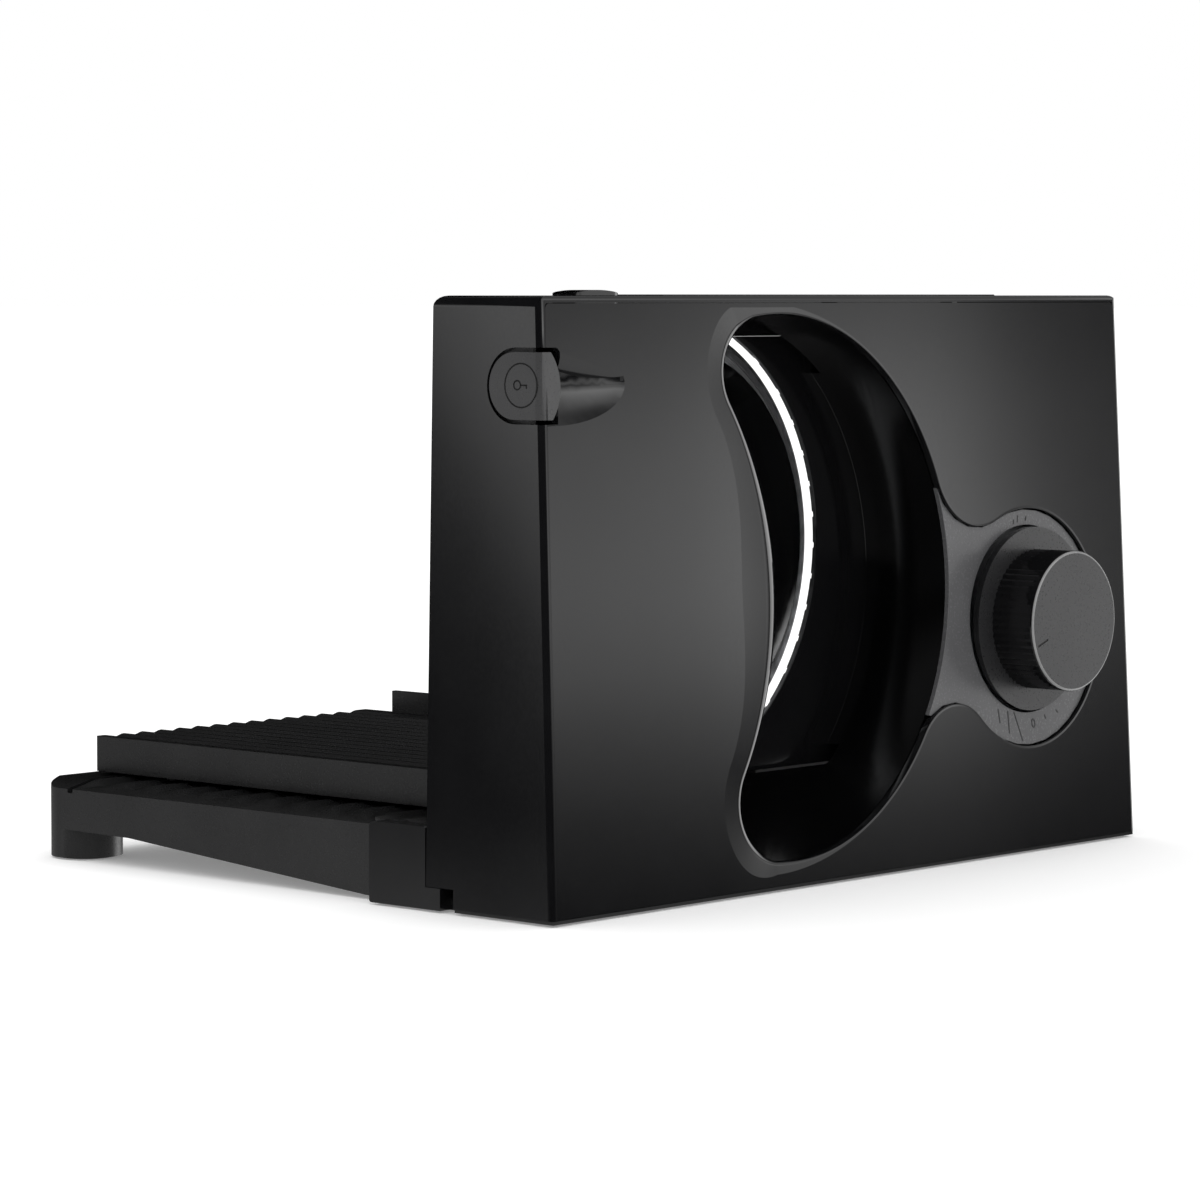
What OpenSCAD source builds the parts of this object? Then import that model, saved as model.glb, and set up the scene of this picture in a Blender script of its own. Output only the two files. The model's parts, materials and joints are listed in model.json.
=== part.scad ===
// Folding electric food slicer: leaning housing with a crescent slice outlet, disc blade,
// adjustable thickness fence, fold-up tray and sliding food carriage.
// X runs along the front, Y to the back, Z up. Millimetres.

/* [Housing] */
// Width of the housing along the front
housing_w = 350; // [346:1:380]
// Depth of the housing at its foot
housing_d = 62; // [61:0.5:66]
// Height of the housing over the diameter of the blade
head_room = 50; // [48:1:66]
// How far the front leans back over the full height
front_lean = 9; // [4:0.5:11]
// How far each end leans in over the full height
end_draft = 3; // [0:0.5:3.5]
// How far the back leans in over the full height
back_draft = 1.4; // [0:0.1:2]
// Thickness of the plastic walls
wall = 2.5; // [2:0.1:3]
// Radius along the top edges
top_r = 4; // [2:0.5:6]
// Radius along the top of the front
front_top_r = 1.8; // [1:0.1:2.2]
// Radius of the two upright front corners
corner_r = 2.4; // [1:0.2:3]
// Width of the column left at each end of the back
rim_w = 8; // [7:0.5:9]

/* [Slice outlet] */
// How far the middle of the large outlet arc lies left of six tenths of the width
outlet_in = 79.5; // [78.5:0.5:80.5]
// Height of the centre of the large outlet arc
outlet_z = 112; // [111:0.5:113]
// Radius of the large outlet arc
outlet_r = 102.2; // [101:0.2:102.6]
// Radius of the top lobe
top_lobe_r = 22; // [20:0.5:23]
// Radius of the bottom lobe
low_lobe_r = 23.4; // [22:0.2:25]
// Radius of the bulge on the left of the outlet
bulge_r = 123; // [118:1:130]
// Width of the rolled lip on the left of the outlet
lip_w = 12; // [8:0.5:14]
// Depth that the rolled lip falls away
lip_drop = 3; // [2:0.5:4]
// Wall of the slice chute
chute_wall = 2; // [1.6:0.1:2.4]

/* [Blade] */
// Diameter of the blade
blade_d = 170; // [166:1:172]
// Thickness of the blade
blade_t = 1.2; // [0.8:0.1:1.4]
// Distance of the blade axle left of the middle of the outlet arc
blade_in = 12.5; // [11.5:0.5:13.5]
// Height of the blade axle
blade_z = 126; // [125:0.5:127]
// Width of the ground bevel
bevel_w = 4.8; // [3:0.2:6]
// Number of ground waves round the edge
wave_count = 72; // [48:4:80]
// Diameter of the blade axle
axle_d = 8; // [6:0.5:9]

/* [Drive] */
// Teeth on the blade gear
blade_teeth = 72; // [66:1:76]
// Teeth on the small and motor pinions
pinion_teeth = 12; // [11:1:14]
// Teeth on the idler wheel
idler_teeth = 48; // [44:1:52]
// Module of the blade stage
blade_module = 1; // [0.9:0.05:1.05]
// Module of the motor stage
motor_module = 0.8; // [0.7:0.05:0.9]
// Diameter of the motor can
motor_d = 36; // [30:1:40]

/* [Fence and dial] */
// Greatest slice thickness
slice_max = 12; // [9:0.5:13]
// Turn of the dial from end to end in degrees
dial_turn = 300; // [240:5:330]
// Turn of the dial from its zero as shown
dial_set = 70; // [40:5:90]
// Thickness of the fence plate
fence_t = 2; // [1.6:0.1:2.4]
// Gap between the blade edge and the fence
fence_gap = 1.5; // [1.2:0.1:2.5]
// Distance of the knob axis right of the middle of the outlet arc
knob_off = 152; // [150:0.5:154]
// Height of the knob axis
knob_z = 92.4; // [90:0.4:95]
// Diameter of the knob skirt
skirt_d = 72.6; // [68:0.2:74]
// Diameter of the knob grip
grip_d = 55; // [48:0.2:60]
// How far the knob stands in front of the foot of the housing
knob_reach = 17.8; // [12:0.2:24]
// Radius of the round dial recess
dial_r = 47; // [46:0.5:48]
// Depth of the dial recess
dial_drop = 1.5; // [1:0.1:2]

/* [Tray and carriage] */
// Distance from the foot of the front to the far end of the tray
tray_end = 284; // [280:1:300]
// Height of the wave crests on the tray
tray_top = 30.8; // [29.5:0.1:31]
// Pitch of the tray waves
tray_wave = 16.3; // [12:0.1:20]
// Height of the tray waves
tray_wave_h = 1.6; // [1:0.1:2]
// Radius of the far corners of the tray
tray_r = 14; // [12:0.5:16]
// Width of the carriage
carriage_w = 150; // [120:1:160]
// Distance of the carriage from the left end as shown
carriage_x = 34; // [32:1:40]
// Height of the top of the carriage
carriage_top = 46; // [44:0.5:46.5]
// Pitch of the ridges on the carriage
ridge_pitch = 10; // [8:0.5:12]

/* [Buttons] */
// Length of the on button along the top
power_l = 29; // [26:1:34]
// Width of the on button
power_w = 12; // [10:0.5:14]
// Travel of the on button
power_travel = 3; // [2:0.5:3]
// Height of the lock button
lock_h = 23.7; // [20:0.1:25]
// Travel of the lock button
lock_travel = 3.5; // [2:0.5:4]

/* [Hidden] */
$fn = 64;
plastic = "#161617";
steel = "#c9ccd0";
// Clearances: sliding plastic, running shafts, parts laid against each other, cover in its rim
slide_gap = 0.4;
run_gap = 0.05;
seat_gap = 0.02;
cover_gap = 0.1;
eps = 0.01;
far = 400;

housing_h = blade_d + head_room;
// Outlet, blade and dial keep together along the front
outlet_x = 0.6 * housing_w - outlet_in;
blade_x = outlet_x - blade_in;
knob_x = outlet_x + knob_off;

lean_angle = atan(front_lean / housing_h);
draft_angle = atan(end_draft / housing_h);
base_lip = 2;
base_low = 0.7;
base_t = 2.5;
// Depth of the sinks and height of the heads of the base screws
sink = 0.8;
low_head = 0.6;

// Depth of the flat back between its end columns
back_y = housing_d - 9.5;
back_in = back_y - wall;
blade_back = back_y + 1.5;
blade_front = blade_back - blade_t;
blade_r = blade_d / 2;
blade_c = [blade_x, blade_z];

function dir(a) = [cos(a), sin(a)];
function aim(from, to) = atan2(to[1] - from[1], to[0] - from[0]);
// Where two circles cross, on the left (side 1) or right (side -1) of the line between them
function meet(c1, r1, c2, r2, side) =
    let (d = norm(c2 - c1), u = (c2 - c1) / d,
         a = (r1 * r1 - r2 * r2 + d * d) / (2 * d), h = sqrt(r1 * r1 - a * a))
    c1 + a * u + side * h * [-u[1], u[0]];
function turn_down(a, b) = b - 360 * ceil((b - a) / 360);
function turn_up(a, b) = b + 360 * ceil((a - b) / 360);
// Stations along an arc: a point and its normal away from the opening
function stations(c, r, a, b, n, out) =
    [for (i = [0 : n - 1]) let (t = a + (b - a) * i / n) [c + r * dir(t), out * dir(t)]];
function swell(st, d) = [for (s = st) s[0] + s[1] * d];
// Corner p between a and b rounded by radius r
function corner(a, p, b, r, n) =
    let (u = (a - p) / norm(a - p), v = (b - p) / norm(b - p), half = acos(u * v) / 2,
         c = p + (u + v) / norm(u + v) * r / sin(half),
         t0 = aim(c, p + u * r / tan(half)), t1 = aim(c, p + v * r / tan(half)),
         dt = t1 - t0 > 180 ? t1 - t0 - 360 : t1 - t0 < -180 ? t1 - t0 + 360 : t1 - t0)
    r <= 0 ? [p] : [for (i = [0 : n]) c + r * dir(t0 + dt * i / n)];
function rounded(pts, rs, n = 5) = let (m = len(pts))
    [for (i = [0 : m - 1]) each corner(pts[(i + m - 1) % m], pts[i], pts[(i + 1) % m], rs[i], n)];
// A point at x, up the leaning front by s and behind it by d
function on_front(x, s, d) =
    [x, d * cos(lean_angle) + s * sin(lean_angle), s * cos(lean_angle) - d * sin(lean_angle)];
function front_y(z) = front_lean * z / housing_h;
function end_x(z) = end_draft * z / housing_h;

// Outlet outline: large arc, bottom lobe, bulge and top lobe, each tangent to the next
outlet_c = [outlet_x, outlet_z];
top_lobe_a = 97;
low_lobe_a = -94.4;
top_lobe_c = outlet_c + (outlet_r - top_lobe_r) * dir(top_lobe_a);
low_lobe_c = outlet_c + (outlet_r - low_lobe_r) * dir(low_lobe_a);
bulge_c = meet(low_lobe_c, bulge_r + low_lobe_r, top_lobe_c, bulge_r + top_lobe_r, 1);
lobe_n = 12;
bulge_n = 16;
arc_n = 24;

low_lobe_st = stations(low_lobe_c, low_lobe_r, low_lobe_a,
    turn_down(low_lobe_a, aim(low_lobe_c, bulge_c)), lobe_n, 1);
bulge_st = stations(bulge_c, bulge_r, aim(bulge_c, low_lobe_c),
    turn_up(aim(bulge_c, low_lobe_c), aim(bulge_c, top_lobe_c)), bulge_n, -1);
top_lobe_st = stations(top_lobe_c, top_lobe_r, aim(top_lobe_c, bulge_c) + 360,
    top_lobe_a, lobe_n, 1);
left_st = concat(low_lobe_st, bulge_st, top_lobe_st);

// Dial recess joined to the outlet by a neck with two hollow fillets
dial_c = [knob_x - 0.4, knob_z - 3.3];
neck_top_r = 28;
neck_low_r = 24;
neck_top_c = meet(outlet_c, outlet_r + neck_top_r, dial_c, dial_r + neck_top_r, 1);
neck_low_c = meet(outlet_c, outlet_r + neck_low_r, dial_c, dial_r + neck_low_r, -1);
neck_n = 5;
dial_n = 22;
neck_top_st = stations(neck_top_c, neck_top_r, aim(neck_top_c, outlet_c),
    turn_up(aim(neck_top_c, outlet_c), aim(neck_top_c, dial_c)), neck_n, -1);
neck_low_st = stations(neck_low_c, neck_low_r, aim(neck_low_c, dial_c),
    turn_up(aim(neck_low_c, dial_c), aim(neck_low_c, outlet_c)), neck_n, -1);
dial_st = stations(dial_c, dial_r, aim(dial_c, neck_top_c),
    turn_down(aim(dial_c, neck_top_c), aim(dial_c, neck_low_c)), dial_n, 1);
cover_st = concat(
    stations(outlet_c, outlet_r, top_lobe_a, aim(outlet_c, neck_top_c), 9, 1),
    neck_top_st, dial_st, neck_low_st,
    stations(outlet_c, outlet_r, aim(outlet_c, neck_low_c), low_lobe_a, 7, 1),
    left_st);

// Share of the full lip at a station: all of it where the edge faces left, none on the right
lip_least = 1;
lip_least_drop = 0.4;
lip_fade = 0.45;
lip_right = outlet_x + 0.6 * outlet_r;
function lip_share(s) = let (t = max(0, min(1, (lip_fade - s[1][0]) / (lip_fade + 0.8))))
    s[0][0] > lip_right ? 0 : t * t * (3 - 2 * t);
lip_join = 0.6;
lip_top = housing_h - wall - cover_gap - 1 - lip_join;
function lip_full(s) = lip_least + (lip_w - lip_least) * lip_share(s);
function lip_out(s) = s[1][1] > 0.05
    ? min(lip_full(s), (lip_top - s[0][1]) / s[1][1]) : lip_full(s);
function lip_depth(s) = lip_least_drop + (lip_drop - lip_least_drop) * lip_share(s);

// Rear mouth of the chute, beside the blade and above a floor
mouth_r = outlet_r - 1.5;
mouth_in = outlet_r - 27.2;
mouth_lobe_r = 8;
mouth_floor = 38;
mouth_low_r = 10;
mouth_end_r = 14;
mouth_top_c = meet(outlet_c, mouth_r - mouth_lobe_r, blade_c, mouth_in + mouth_lobe_r, -1);
mouth_low_c = [blade_x + sqrt(pow(mouth_in + mouth_low_r, 2)
    - pow(blade_z - mouth_floor - mouth_low_r, 2)), mouth_floor + mouth_low_r];
mouth_end_c = [outlet_x + sqrt(pow(mouth_r - mouth_end_r, 2)
    - pow(outlet_z - mouth_floor - mouth_end_r, 2)), mouth_floor + mouth_end_r];
mouth_end_a = aim(outlet_c, mouth_end_c);
ramp_n = 8;
floor_from = mouth_end_c - [0, mouth_end_r];
floor_to = mouth_low_c - [0, mouth_low_r];
floor_st = [for (i = [0 : ramp_n - 1]) [floor_from + (floor_to - floor_from) * i / ramp_n, [0, -1]]];
// The same number of stations round the outlet and round the mouth, part by part
outlet_st = concat(
    stations(outlet_c, outlet_r, top_lobe_a, mouth_end_a, arc_n, 1),
    stations(outlet_c, outlet_r, mouth_end_a, low_lobe_a, ramp_n, 1), left_st);
mouth_st = concat(
    stations(outlet_c, mouth_r, aim(outlet_c, mouth_top_c), mouth_end_a, arc_n, 1),
    stations(mouth_end_c, mouth_end_r, mouth_end_a, -90, lobe_n / 2, 1),
    floor_st,
    stations(mouth_low_c, mouth_low_r, 270, aim(blade_c, mouth_low_c) + 180, lobe_n / 2, 1),
    stations(blade_c, mouth_in, aim(blade_c, mouth_low_c), aim(blade_c, mouth_top_c), bulge_n, -1),
    stations(mouth_top_c, mouth_lobe_r, aim(blade_c, mouth_top_c) + 180,
        aim(outlet_c, mouth_top_c), lobe_n, 1));

// Places along Y of the fence at rest and at its limits
fence_set = slice_max * dial_set / dial_turn;
fence_back = blade_back - fence_set;
fence_front = fence_back - fence_t;
fence_reach = slice_max - fence_set;
chute_right_end = fence_front - fence_reach - 1;
chute_left_end = blade_front - 4.8;
chute_gap = 0.1;
dial_t = 2;
skirt_rise = 2;
screw_lead = slice_max * 360 / dial_turn;

// Gear train behind the gear plate
plate_y = 36;
plate_t = 3;
plate_z = 28;
motor_gear_y = plate_y + plate_t + 1;
motor_gear_t = 3.5;
blade_gear_y = motor_gear_y + motor_gear_t + 1.5;
blade_gear_t = 4;
blade_pitch_r = blade_module * blade_teeth / 2;
small_pitch_r = blade_module * pinion_teeth / 2;
idler_pitch_r = motor_module * idler_teeth / 2;
motor_pitch_r = motor_module * pinion_teeth / 2;
idler_a = 200;
motor_a = 234;
idler_c = blade_c + (blade_pitch_r + small_pitch_r) * dir(idler_a);
motor_c = idler_c + (idler_pitch_r + motor_pitch_r) * dir(motor_a);
idler_axle_r = 2.5;
motor_shaft_r = 1.5;
axle_r = axle_d / 2;
bush_t = 2;
hub_r = axle_r + bush_t + 7;
spigot_r = axle_r + bush_t + 4;

// Hinge between the base ears and the tray
hinge_y = housing_d + 25;
hinge_z = 25.5;
hinge_r = 2.2;
ear_end = hinge_y + 4;
ear_top = 30.3;
ear_w = rim_w;
strip_x = wall + 3;
strip_w = ear_w + 3;
tray_gap = 0.6;
tray_x0 = ear_w + tray_gap;
tray_x1 = housing_w - tray_x0;
tray_near = housing_d + 0.5;
tray_wall = 2.5;
slot_y = tray_end - 20;
slot_w = 3;
foot_h = 0.6;
edge_w = 12;
edge_drop = 3;

// Buttons
power_c = [47.5, 28];
power_rise = 2;
// Fall of the arched top towards its ends, and its radius
power_fall = 1.6;
power_arch_r = (pow(power_l / 2, 2) + pow(power_fall, 2)) / (2 * power_fall);
lock_r = lock_h / 2;
lock_z = housing_h - 31.6;
lock_end = 32.3;
lock_gap = 1.6;
lock_end_r = 18;
lock_y = lock_end - lock_r;
lock_back_x = 10;
lock_front_x = lock_back_x + lock_travel + 3.5;
rib_x = lock_front_x + 2;
shelf_z = housing_h - 20;
gland_y = 25;
gland_z = 18;
gland_r = 5;
flange_z = housing_h - 7;

// Guides of the fence
guide_r = 2.5;
guide_x = housing_w - 28;
guide_z = [44.5, housing_h - 50];
frame_y = front_lean + 5;
frame_t = 3;
frame_x = knob_x - 42.5;
frame_z = 26;
guide_end = fence_front - fence_reach - 0.5;
sleeve_l = fence_front - fence_reach - frame_y - frame_t - 5;
nut_l = 8;
thread_r = 5;
lobe_r = 7;
journal_r = 6;

// Screw places: base, gear plate and slide frame, as plan or front points
base_screws_at = [[14, 12], [housing_w - 14, 12], [14, 38], [housing_w - 14, 38]];
plate_screws_at = [[20, housing_h - 15], [62, housing_h - 11], [20, plate_z + 6],
    [blade_x - 6, plate_z + 6]];
frame_screws_at = [[housing_w - 12, 40], [housing_w - 12, housing_h - 30],
    [frame_x + 10, housing_h - 10]];
screw_r = 1.5;
post_r = 4.5;

// Extrusions of a drawing in Y and Z along X, and of one in X and Z along Y
module along_x(x0, l) translate([x0, 0, 0]) rotate([90, 0, 90]) linear_extrude(l) children();
module along_y(y0, l) translate([0, y0 + l, 0]) rotate([90, 0, 0]) linear_extrude(l) children();
module rod_y(c, y0, l, r) translate([c[0], y0, c[1]]) rotate([-90, 0, 0]) cylinder(h = l, r = r);
module rod_x(x0, y, z, l, r) translate([x0, y, z]) rotate([0, 90, 0]) cylinder(h = l, r = r);
module lean() rotate([-lean_angle, 0, 0]) children();
module mirrored() {
    children();
    translate([housing_w, 0, 0]) mirror([1, 0, 0]) children();
}
// Skin through closed rings of points, joined first to last
module ring_loft(rings) {
    n = len(rings[0]);
    m = len(rings);
    polyhedron(points = [for (r = rings) each r],
        faces = [for (j = [0 : m - 1], i = [0 : n - 1])
            let (a = j * n + i, b = j * n + (i + 1) % n,
                 c = ((j + 1) % m) * n + i, d = ((j + 1) % m) * n + (i + 1) % n)
            each [[a, c, b], [b, c, d]]]);
}
// Lozenge with round ends along its first axis
module slot2d(l, w) {
    square([l - w, w], center = true);
    for (s = [-1, 1]) translate([s * (l - w) / 2, 0]) circle(d = w);
}

module housing_form(inset) intersection() {
    along_x(inset, housing_w - 2 * inset) polygon(rounded(
        [[-far, base_lip - inset], [housing_d - inset, base_lip - inset],
         [housing_d - back_draft - inset, housing_h - inset], [-far, housing_h - inset]],
        [0, 0, max(top_r - inset, 0.5), 0]));
    along_y(-far, 2 * far) polygon(rounded(
        [[inset, base_lip - inset], [housing_w - inset, base_lip - inset],
         [housing_w - end_draft - inset, housing_h - inset], [end_draft + inset, housing_h - inset]],
        [0, 0, max(top_r - inset, 0.5), max(top_r - inset, 0.5)]));
}
module corner_cut() lean() rotate([0, draft_angle, 0]) translate([-1, -1, -5])
    linear_extrude(housing_h + 10) difference() {
        square(corner_r + 1);
        translate([corner_r + 1, corner_r + 1]) circle(corner_r);
    }
module top_cut() along_x(-1, housing_w + 2)
    translate([front_lean - 1, housing_h - front_top_r]) difference() {
        square(front_top_r + 1);
        translate([front_top_r + 1, 0]) circle(front_top_r);
    }
// Side view of the lock button, grown by d
module lock_shape(d) {
    translate([lock_y, lock_z]) circle(lock_r + d);
    translate([-20, lock_z - lock_r - d]) square([lock_y + 20, lock_h + 2 * d]);
}
// Front view of the rounded right end of the lock button, reaching x
module lock_end(x) along_y(-far, 2 * far) translate([x - lock_end_r, lock_z]) circle(lock_end_r);
module back_window() {
    translate(blade_c) circle(blade_r + 2);
    translate([blade_x + 35, 36.5]) square([housing_w - 11.5 - blade_x - 35, housing_h - 52]);
}

module main_housing() color(plastic) {
    difference() {
        housing_form(0);
        lean() translate([-far, -2 * far, -far]) cube([2 * far, 2 * far, 2 * far]);
        mirrored() corner_cut();
        top_cut();
        intersection() {
            housing_form(wall);
            translate([0, -far, -far]) cube([housing_w, far + back_in, far + housing_h]);
        }
        translate([wall, -far, -far]) cube([housing_w - 2 * wall, far + back_in, far + base_lip + 1]);
        translate([rim_w, back_y, -1]) cube([housing_w - 2 * rim_w, far, housing_h - 4.5]);
        along_y(back_in - 1, far) back_window();
        mirrored() translate([-1, housing_d - 13.6, -1]) cube([strip_x + strip_w + 2, far, 10]);
        along_x(-1, lock_front_x) lock_shape(lock_gap);
        translate([power_c[0], power_c[1], flange_z]) linear_extrude(20)
            slot2d(power_l + 2 * slide_gap, power_w + 2 * slide_gap);
        rod_x(housing_w - 1.7, gland_y, gland_z, 5, gland_r + 3.2);
        rod_x(housing_w - 10, gland_y, gland_z, 20, gland_r + 0.2);
    }
    // Raised strip along the top
    translate([housing_w / 2 - 90, 24, housing_h - 1]) cube([200, 22, 1.4]);
    housing_posts();
}
// Posts that the gear plate, the slide frame and the base are screwed to
module housing_posts() {
    for (p = plate_screws_at) difference() {
        rod_y(p, plate_y + plate_t, back_in - plate_y - plate_t + 0.5, post_r);
        rod_y(p, plate_y, back_in - plate_y - 1, screw_r);
    }
    for (p = base_screws_at) difference() {
        union() {
            translate([p[0], p[1], base_lip + 1.5]) cylinder(h = 20, r = post_r);
            translate([p[0] < 50 ? wall - 1 : p[0], p[1] - 1.5, base_lip + 1.5])
                cube([14 - wall + 1, 3, 20]);
        }
        translate([p[0], p[1], 0]) cylinder(h = 15, r = screw_r);
    }
    for (p = frame_screws_at) difference() {
        union() {
            rod_y(p, frame_y + frame_t, 6, post_r);
            if (p[0] > housing_w - 20)
                translate([p[0], frame_y + frame_t, p[1] - 1.5])
                    cube([housing_w - end_x(p[1]) - wall / 2 - p[0], 6, 3]);
            else
                translate([p[0] - 1.5, frame_y + frame_t, p[1]])
                    cube([3, 6, housing_h - p[1] - 1]);
        }
        rod_y(p, frame_y, 8, screw_r);
    }
}

// Flat of the cover in the plane of the front
module cover_flat() polygon(rounded(
    [[wall + cover_gap, base_lip + 0.3], [housing_w - wall - cover_gap, base_lip + 0.3],
     [housing_w - end_draft - wall - cover_gap, housing_h - wall - cover_gap],
     [end_draft + wall + cover_gap, housing_h - wall - cover_gap]], [0, 0, 2, 2]));
// Hollow beside the lock button, round below and under a sloping roof, grown by d
scoop_tip = 46;
scoop_mid = 9;
scoop_half = 14.4;
scoop_lift = 14;
scoop_z = lock_z + 0.6;
scoop_n = 10;
roof_rise = 14.8;
roof_fall = 15;
module scoop(d) intersection() {
    translate([0, -scoop_lift, scoop_z]) rotate([0, 90, 0]) rotate_extrude() polygon(concat(
        [[0, 0], [norm([scoop_half, scoop_lift]) + d, 0]],
        [for (i = [0 : scoop_n]) let (t = 90 * i / scoop_n)
            [norm([scoop_half * cos(t), scoop_lift]) + d, scoop_mid + (scoop_tip - scoop_mid) * sin(t)]],
        [[0, scoop_tip]]));
    translate([0, 0, scoop_z + roof_rise + 1.4 * d]) rotate([-45, roof_fall, 0])
        translate([-far, -far, -2 * far]) cube(2 * far);
}
// Ring of the lip: a share of its width out from the edge, a share of its drop, a depth behind
function lip_ring(share, drop, depth, extra = 0) = [for (s = cover_st)
    let (p = s[0] + s[1] * (lip_out(s) * share + extra))
    on_front(p[0], p[1], depth + drop * lip_depth(s))];
module cover_lip() ring_loft([
    lip_ring(1, 0, wall - seat_gap, lip_join), lip_ring(0.5, 0.25, wall), lip_ring(0, 1, wall),
    lip_ring(0, 1, 0), lip_ring(0.1, 0.68, 0), lip_ring(0.3, 0.38, 0),
    lip_ring(0.6, 0.12, 0), lip_ring(1, 0, seat_gap, lip_join)]);
module front_cover() color(plastic) {
    difference() {
        union() {
            lean() along_y(0, wall) difference() {
                cover_flat();
                polygon([for (s = cover_st) s[0] + s[1] * lip_out(s)]);
            }
            lean() intersection() {
                scoop(wall);
                along_y(0, 20) intersection() {
                    cover_flat();
                    translate([0, lock_z - 25]) square([scoop_tip + 3, 50]);
                }
            }
        }
        lean() scoop(0);
        intersection() {
            along_x(-1, lock_front_x + 1) lock_shape(lock_gap);
            lock_end(lock_front_x);
        }
    }
    cover_lip();
}

// Depth behind the front at which the chute starts: under the lip, and under the dial plate
function chute_start(s) = max(lip_depth(s) + wall, dial_drop + dial_t) + chute_gap;
function chute_end(s) = let (r = norm(s[0] - blade_c))
    r < mouth_in + 0.1 ? chute_left_end
    : s[0][0] < mouth_top_c[0] && r < mouth_in + 9
        ? chute_left_end + (chute_right_end - chute_left_end) * (r - mouth_in) / 9
        : chute_right_end;
function chute_front(d) = [for (s = outlet_st) let (p = s[0] + s[1] * d)
    on_front(p[0], p[1], chute_start(s))];
function chute_rear(d) = [for (s = mouth_st) let (p = s[0] + s[1] * d)
    [p[0], chute_end(s), p[1]]];
module exit_chute() color(plastic) ring_loft(
    [chute_front(0), chute_rear(0), chute_rear(chute_wall), chute_front(chute_wall)]);

module dial_plate() color(plastic) lean() difference() {
    along_y(dial_drop, dial_t) difference() {
        polygon(concat([[outlet_x + outlet_r * 0.8, outlet_z + 30]],
            swell(concat(neck_top_st, dial_st, neck_low_st), -slide_gap),
            [[outlet_x + outlet_r * 0.8, outlet_z - 50]]));
        translate(outlet_c) circle(outlet_r);
    }
    translate([knob_x, -1, knob_z]) rotate([-90, 0, 0]) cylinder(h = 20, r = skirt_d / 2 + 0.8);
}
module thickness_knob() color(plastic) {
    grip_r = grip_d / 2;
    flutes = 60;
    flute = 0.3;
    skirt_y = front_y(knob_z) - skirt_rise;
    difference() {
        union() {
            along_y(-knob_reach + 1.2, skirt_y + knob_reach + 0.8) translate([knob_x, knob_z])
                polygon([for (i = [0 : 4 * flutes - 1]) let (a = 90 * i / flutes)
                    (grip_r - flute * (1 - cos(flutes * a))) * dir(a)]);
            translate([knob_x, -knob_reach, knob_z]) rotate([-90, 0, 0]) {
                cylinder(h = 1.2, r1 = grip_r - 0.25, r2 = grip_r + 0.15);
                translate([0, 0, skirt_y + knob_reach]) cylinder(h = 2.5, r = skirt_d / 2);
            }
        }
        // Pointer cut into the face
        translate([knob_x, -knob_reach, knob_z]) rotate([0, -(270 - dial_set), 0])
            translate([grip_r - 9, -1, -0.4]) cube([7, 1.4, 0.8]);
        rod_y([knob_x, knob_z], skirt_y - 6, 10, journal_r + seat_gap);
    }
}
module screw_section(d) {
    circle(thread_r + d);
    for (s = [0, 180]) rotate(s) translate([0, -1.5 - d]) square([lobe_r + d, 3 + 2 * d]);
}
// Section drawn at y0 and twisted at the lead of the screw
module thread_form(y0, l) translate([knob_x, y0, knob_z]) rotate([-90, 0, 0])
    rotate(360 * y0 / screw_lead)
    linear_extrude(l, twist = -360 * l / screw_lead, slices = ceil(l), $fn = 20) children();
module adjuster_screw() color(steel) {
    skirt_y = front_y(knob_z) - skirt_rise;
    rod_y([knob_x, knob_z], skirt_y - 6 + 0.2, frame_y + frame_t + 2 - skirt_y + 6, journal_r);
    thread_form(frame_y + frame_t + 2, guide_end - frame_y - frame_t - 2) screw_section(0);
}
module fence_nut() color("ivory") {
    y0 = fence_front - sleeve_l;
    thread_form(y0, nut_l + 0.5) difference() {
        circle(lobe_r + 5);
        screw_section(slide_gap);
    }
    difference() {
        rod_y([knob_x, knob_z], y0 + nut_l, sleeve_l - nut_l, lobe_r + 5.2);
        rod_y([knob_x, knob_z], y0 + nut_l - 1, sleeve_l, lobe_r + 1.5);
    }
}
module fence_plate() color(plastic) {
    skirt_in = outlet_r + chute_wall + 0.8;
    difference() {
        along_y(fence_front, fence_t) difference() {
            translate([blade_x + 35.4, 38]) square([housing_w - 48.4 - blade_x, housing_h - 53.9]);
            translate(blade_c) circle(blade_r + fence_gap);
        }
        // Grooves that let the food slide
        for (z = [50 : 12 : housing_h - 25]) translate([0, fence_back - 0.5, z])
            cube([housing_w - 20, 1, 2]);
    }
    // Curved apron that closes the way beside the chute
    intersection() {
        difference() {
            rod_y(outlet_c, chute_right_end + 1, fence_front - chute_right_end - 1 + eps, skirt_in + 2);
            rod_y(outlet_c, 0, far, skirt_in);
        }
        translate([blade_x + 70, 0, 45]) cube([far, far, housing_h - 75]);
    }
    for (z = guide_z) difference() {
        rod_y([guide_x, z], fence_front - sleeve_l, sleeve_l + eps, guide_r + 3);
        rod_y([guide_x, z], 0, fence_front, guide_r + run_gap);
    }
}
module guide_pins() color(steel) for (z = guide_z)
    rod_y([guide_x, z], frame_y, guide_end - frame_y, guide_r);
module slide_frame() color("#303236") difference() {
    union() {
        along_y(frame_y, frame_t) translate([frame_x, frame_z])
            square([housing_w - 6 - frame_x, housing_h - 4 - frame_z]);
        rod_y([knob_x, knob_z], frame_y - 2, frame_t + 4, journal_r + 4);
        for (z = guide_z) rod_y([guide_x, z], frame_y, frame_t + 3, guide_r + 2.5);
    }
    rod_y([knob_x, knob_z], 0, 40, journal_r + run_gap);
    for (z = guide_z) rod_y([guide_x, z], 0, 40, guide_r + seat_gap);
    for (p = frame_screws_at) rod_y(p, 0, 40, screw_r + 0.1);
}

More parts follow.
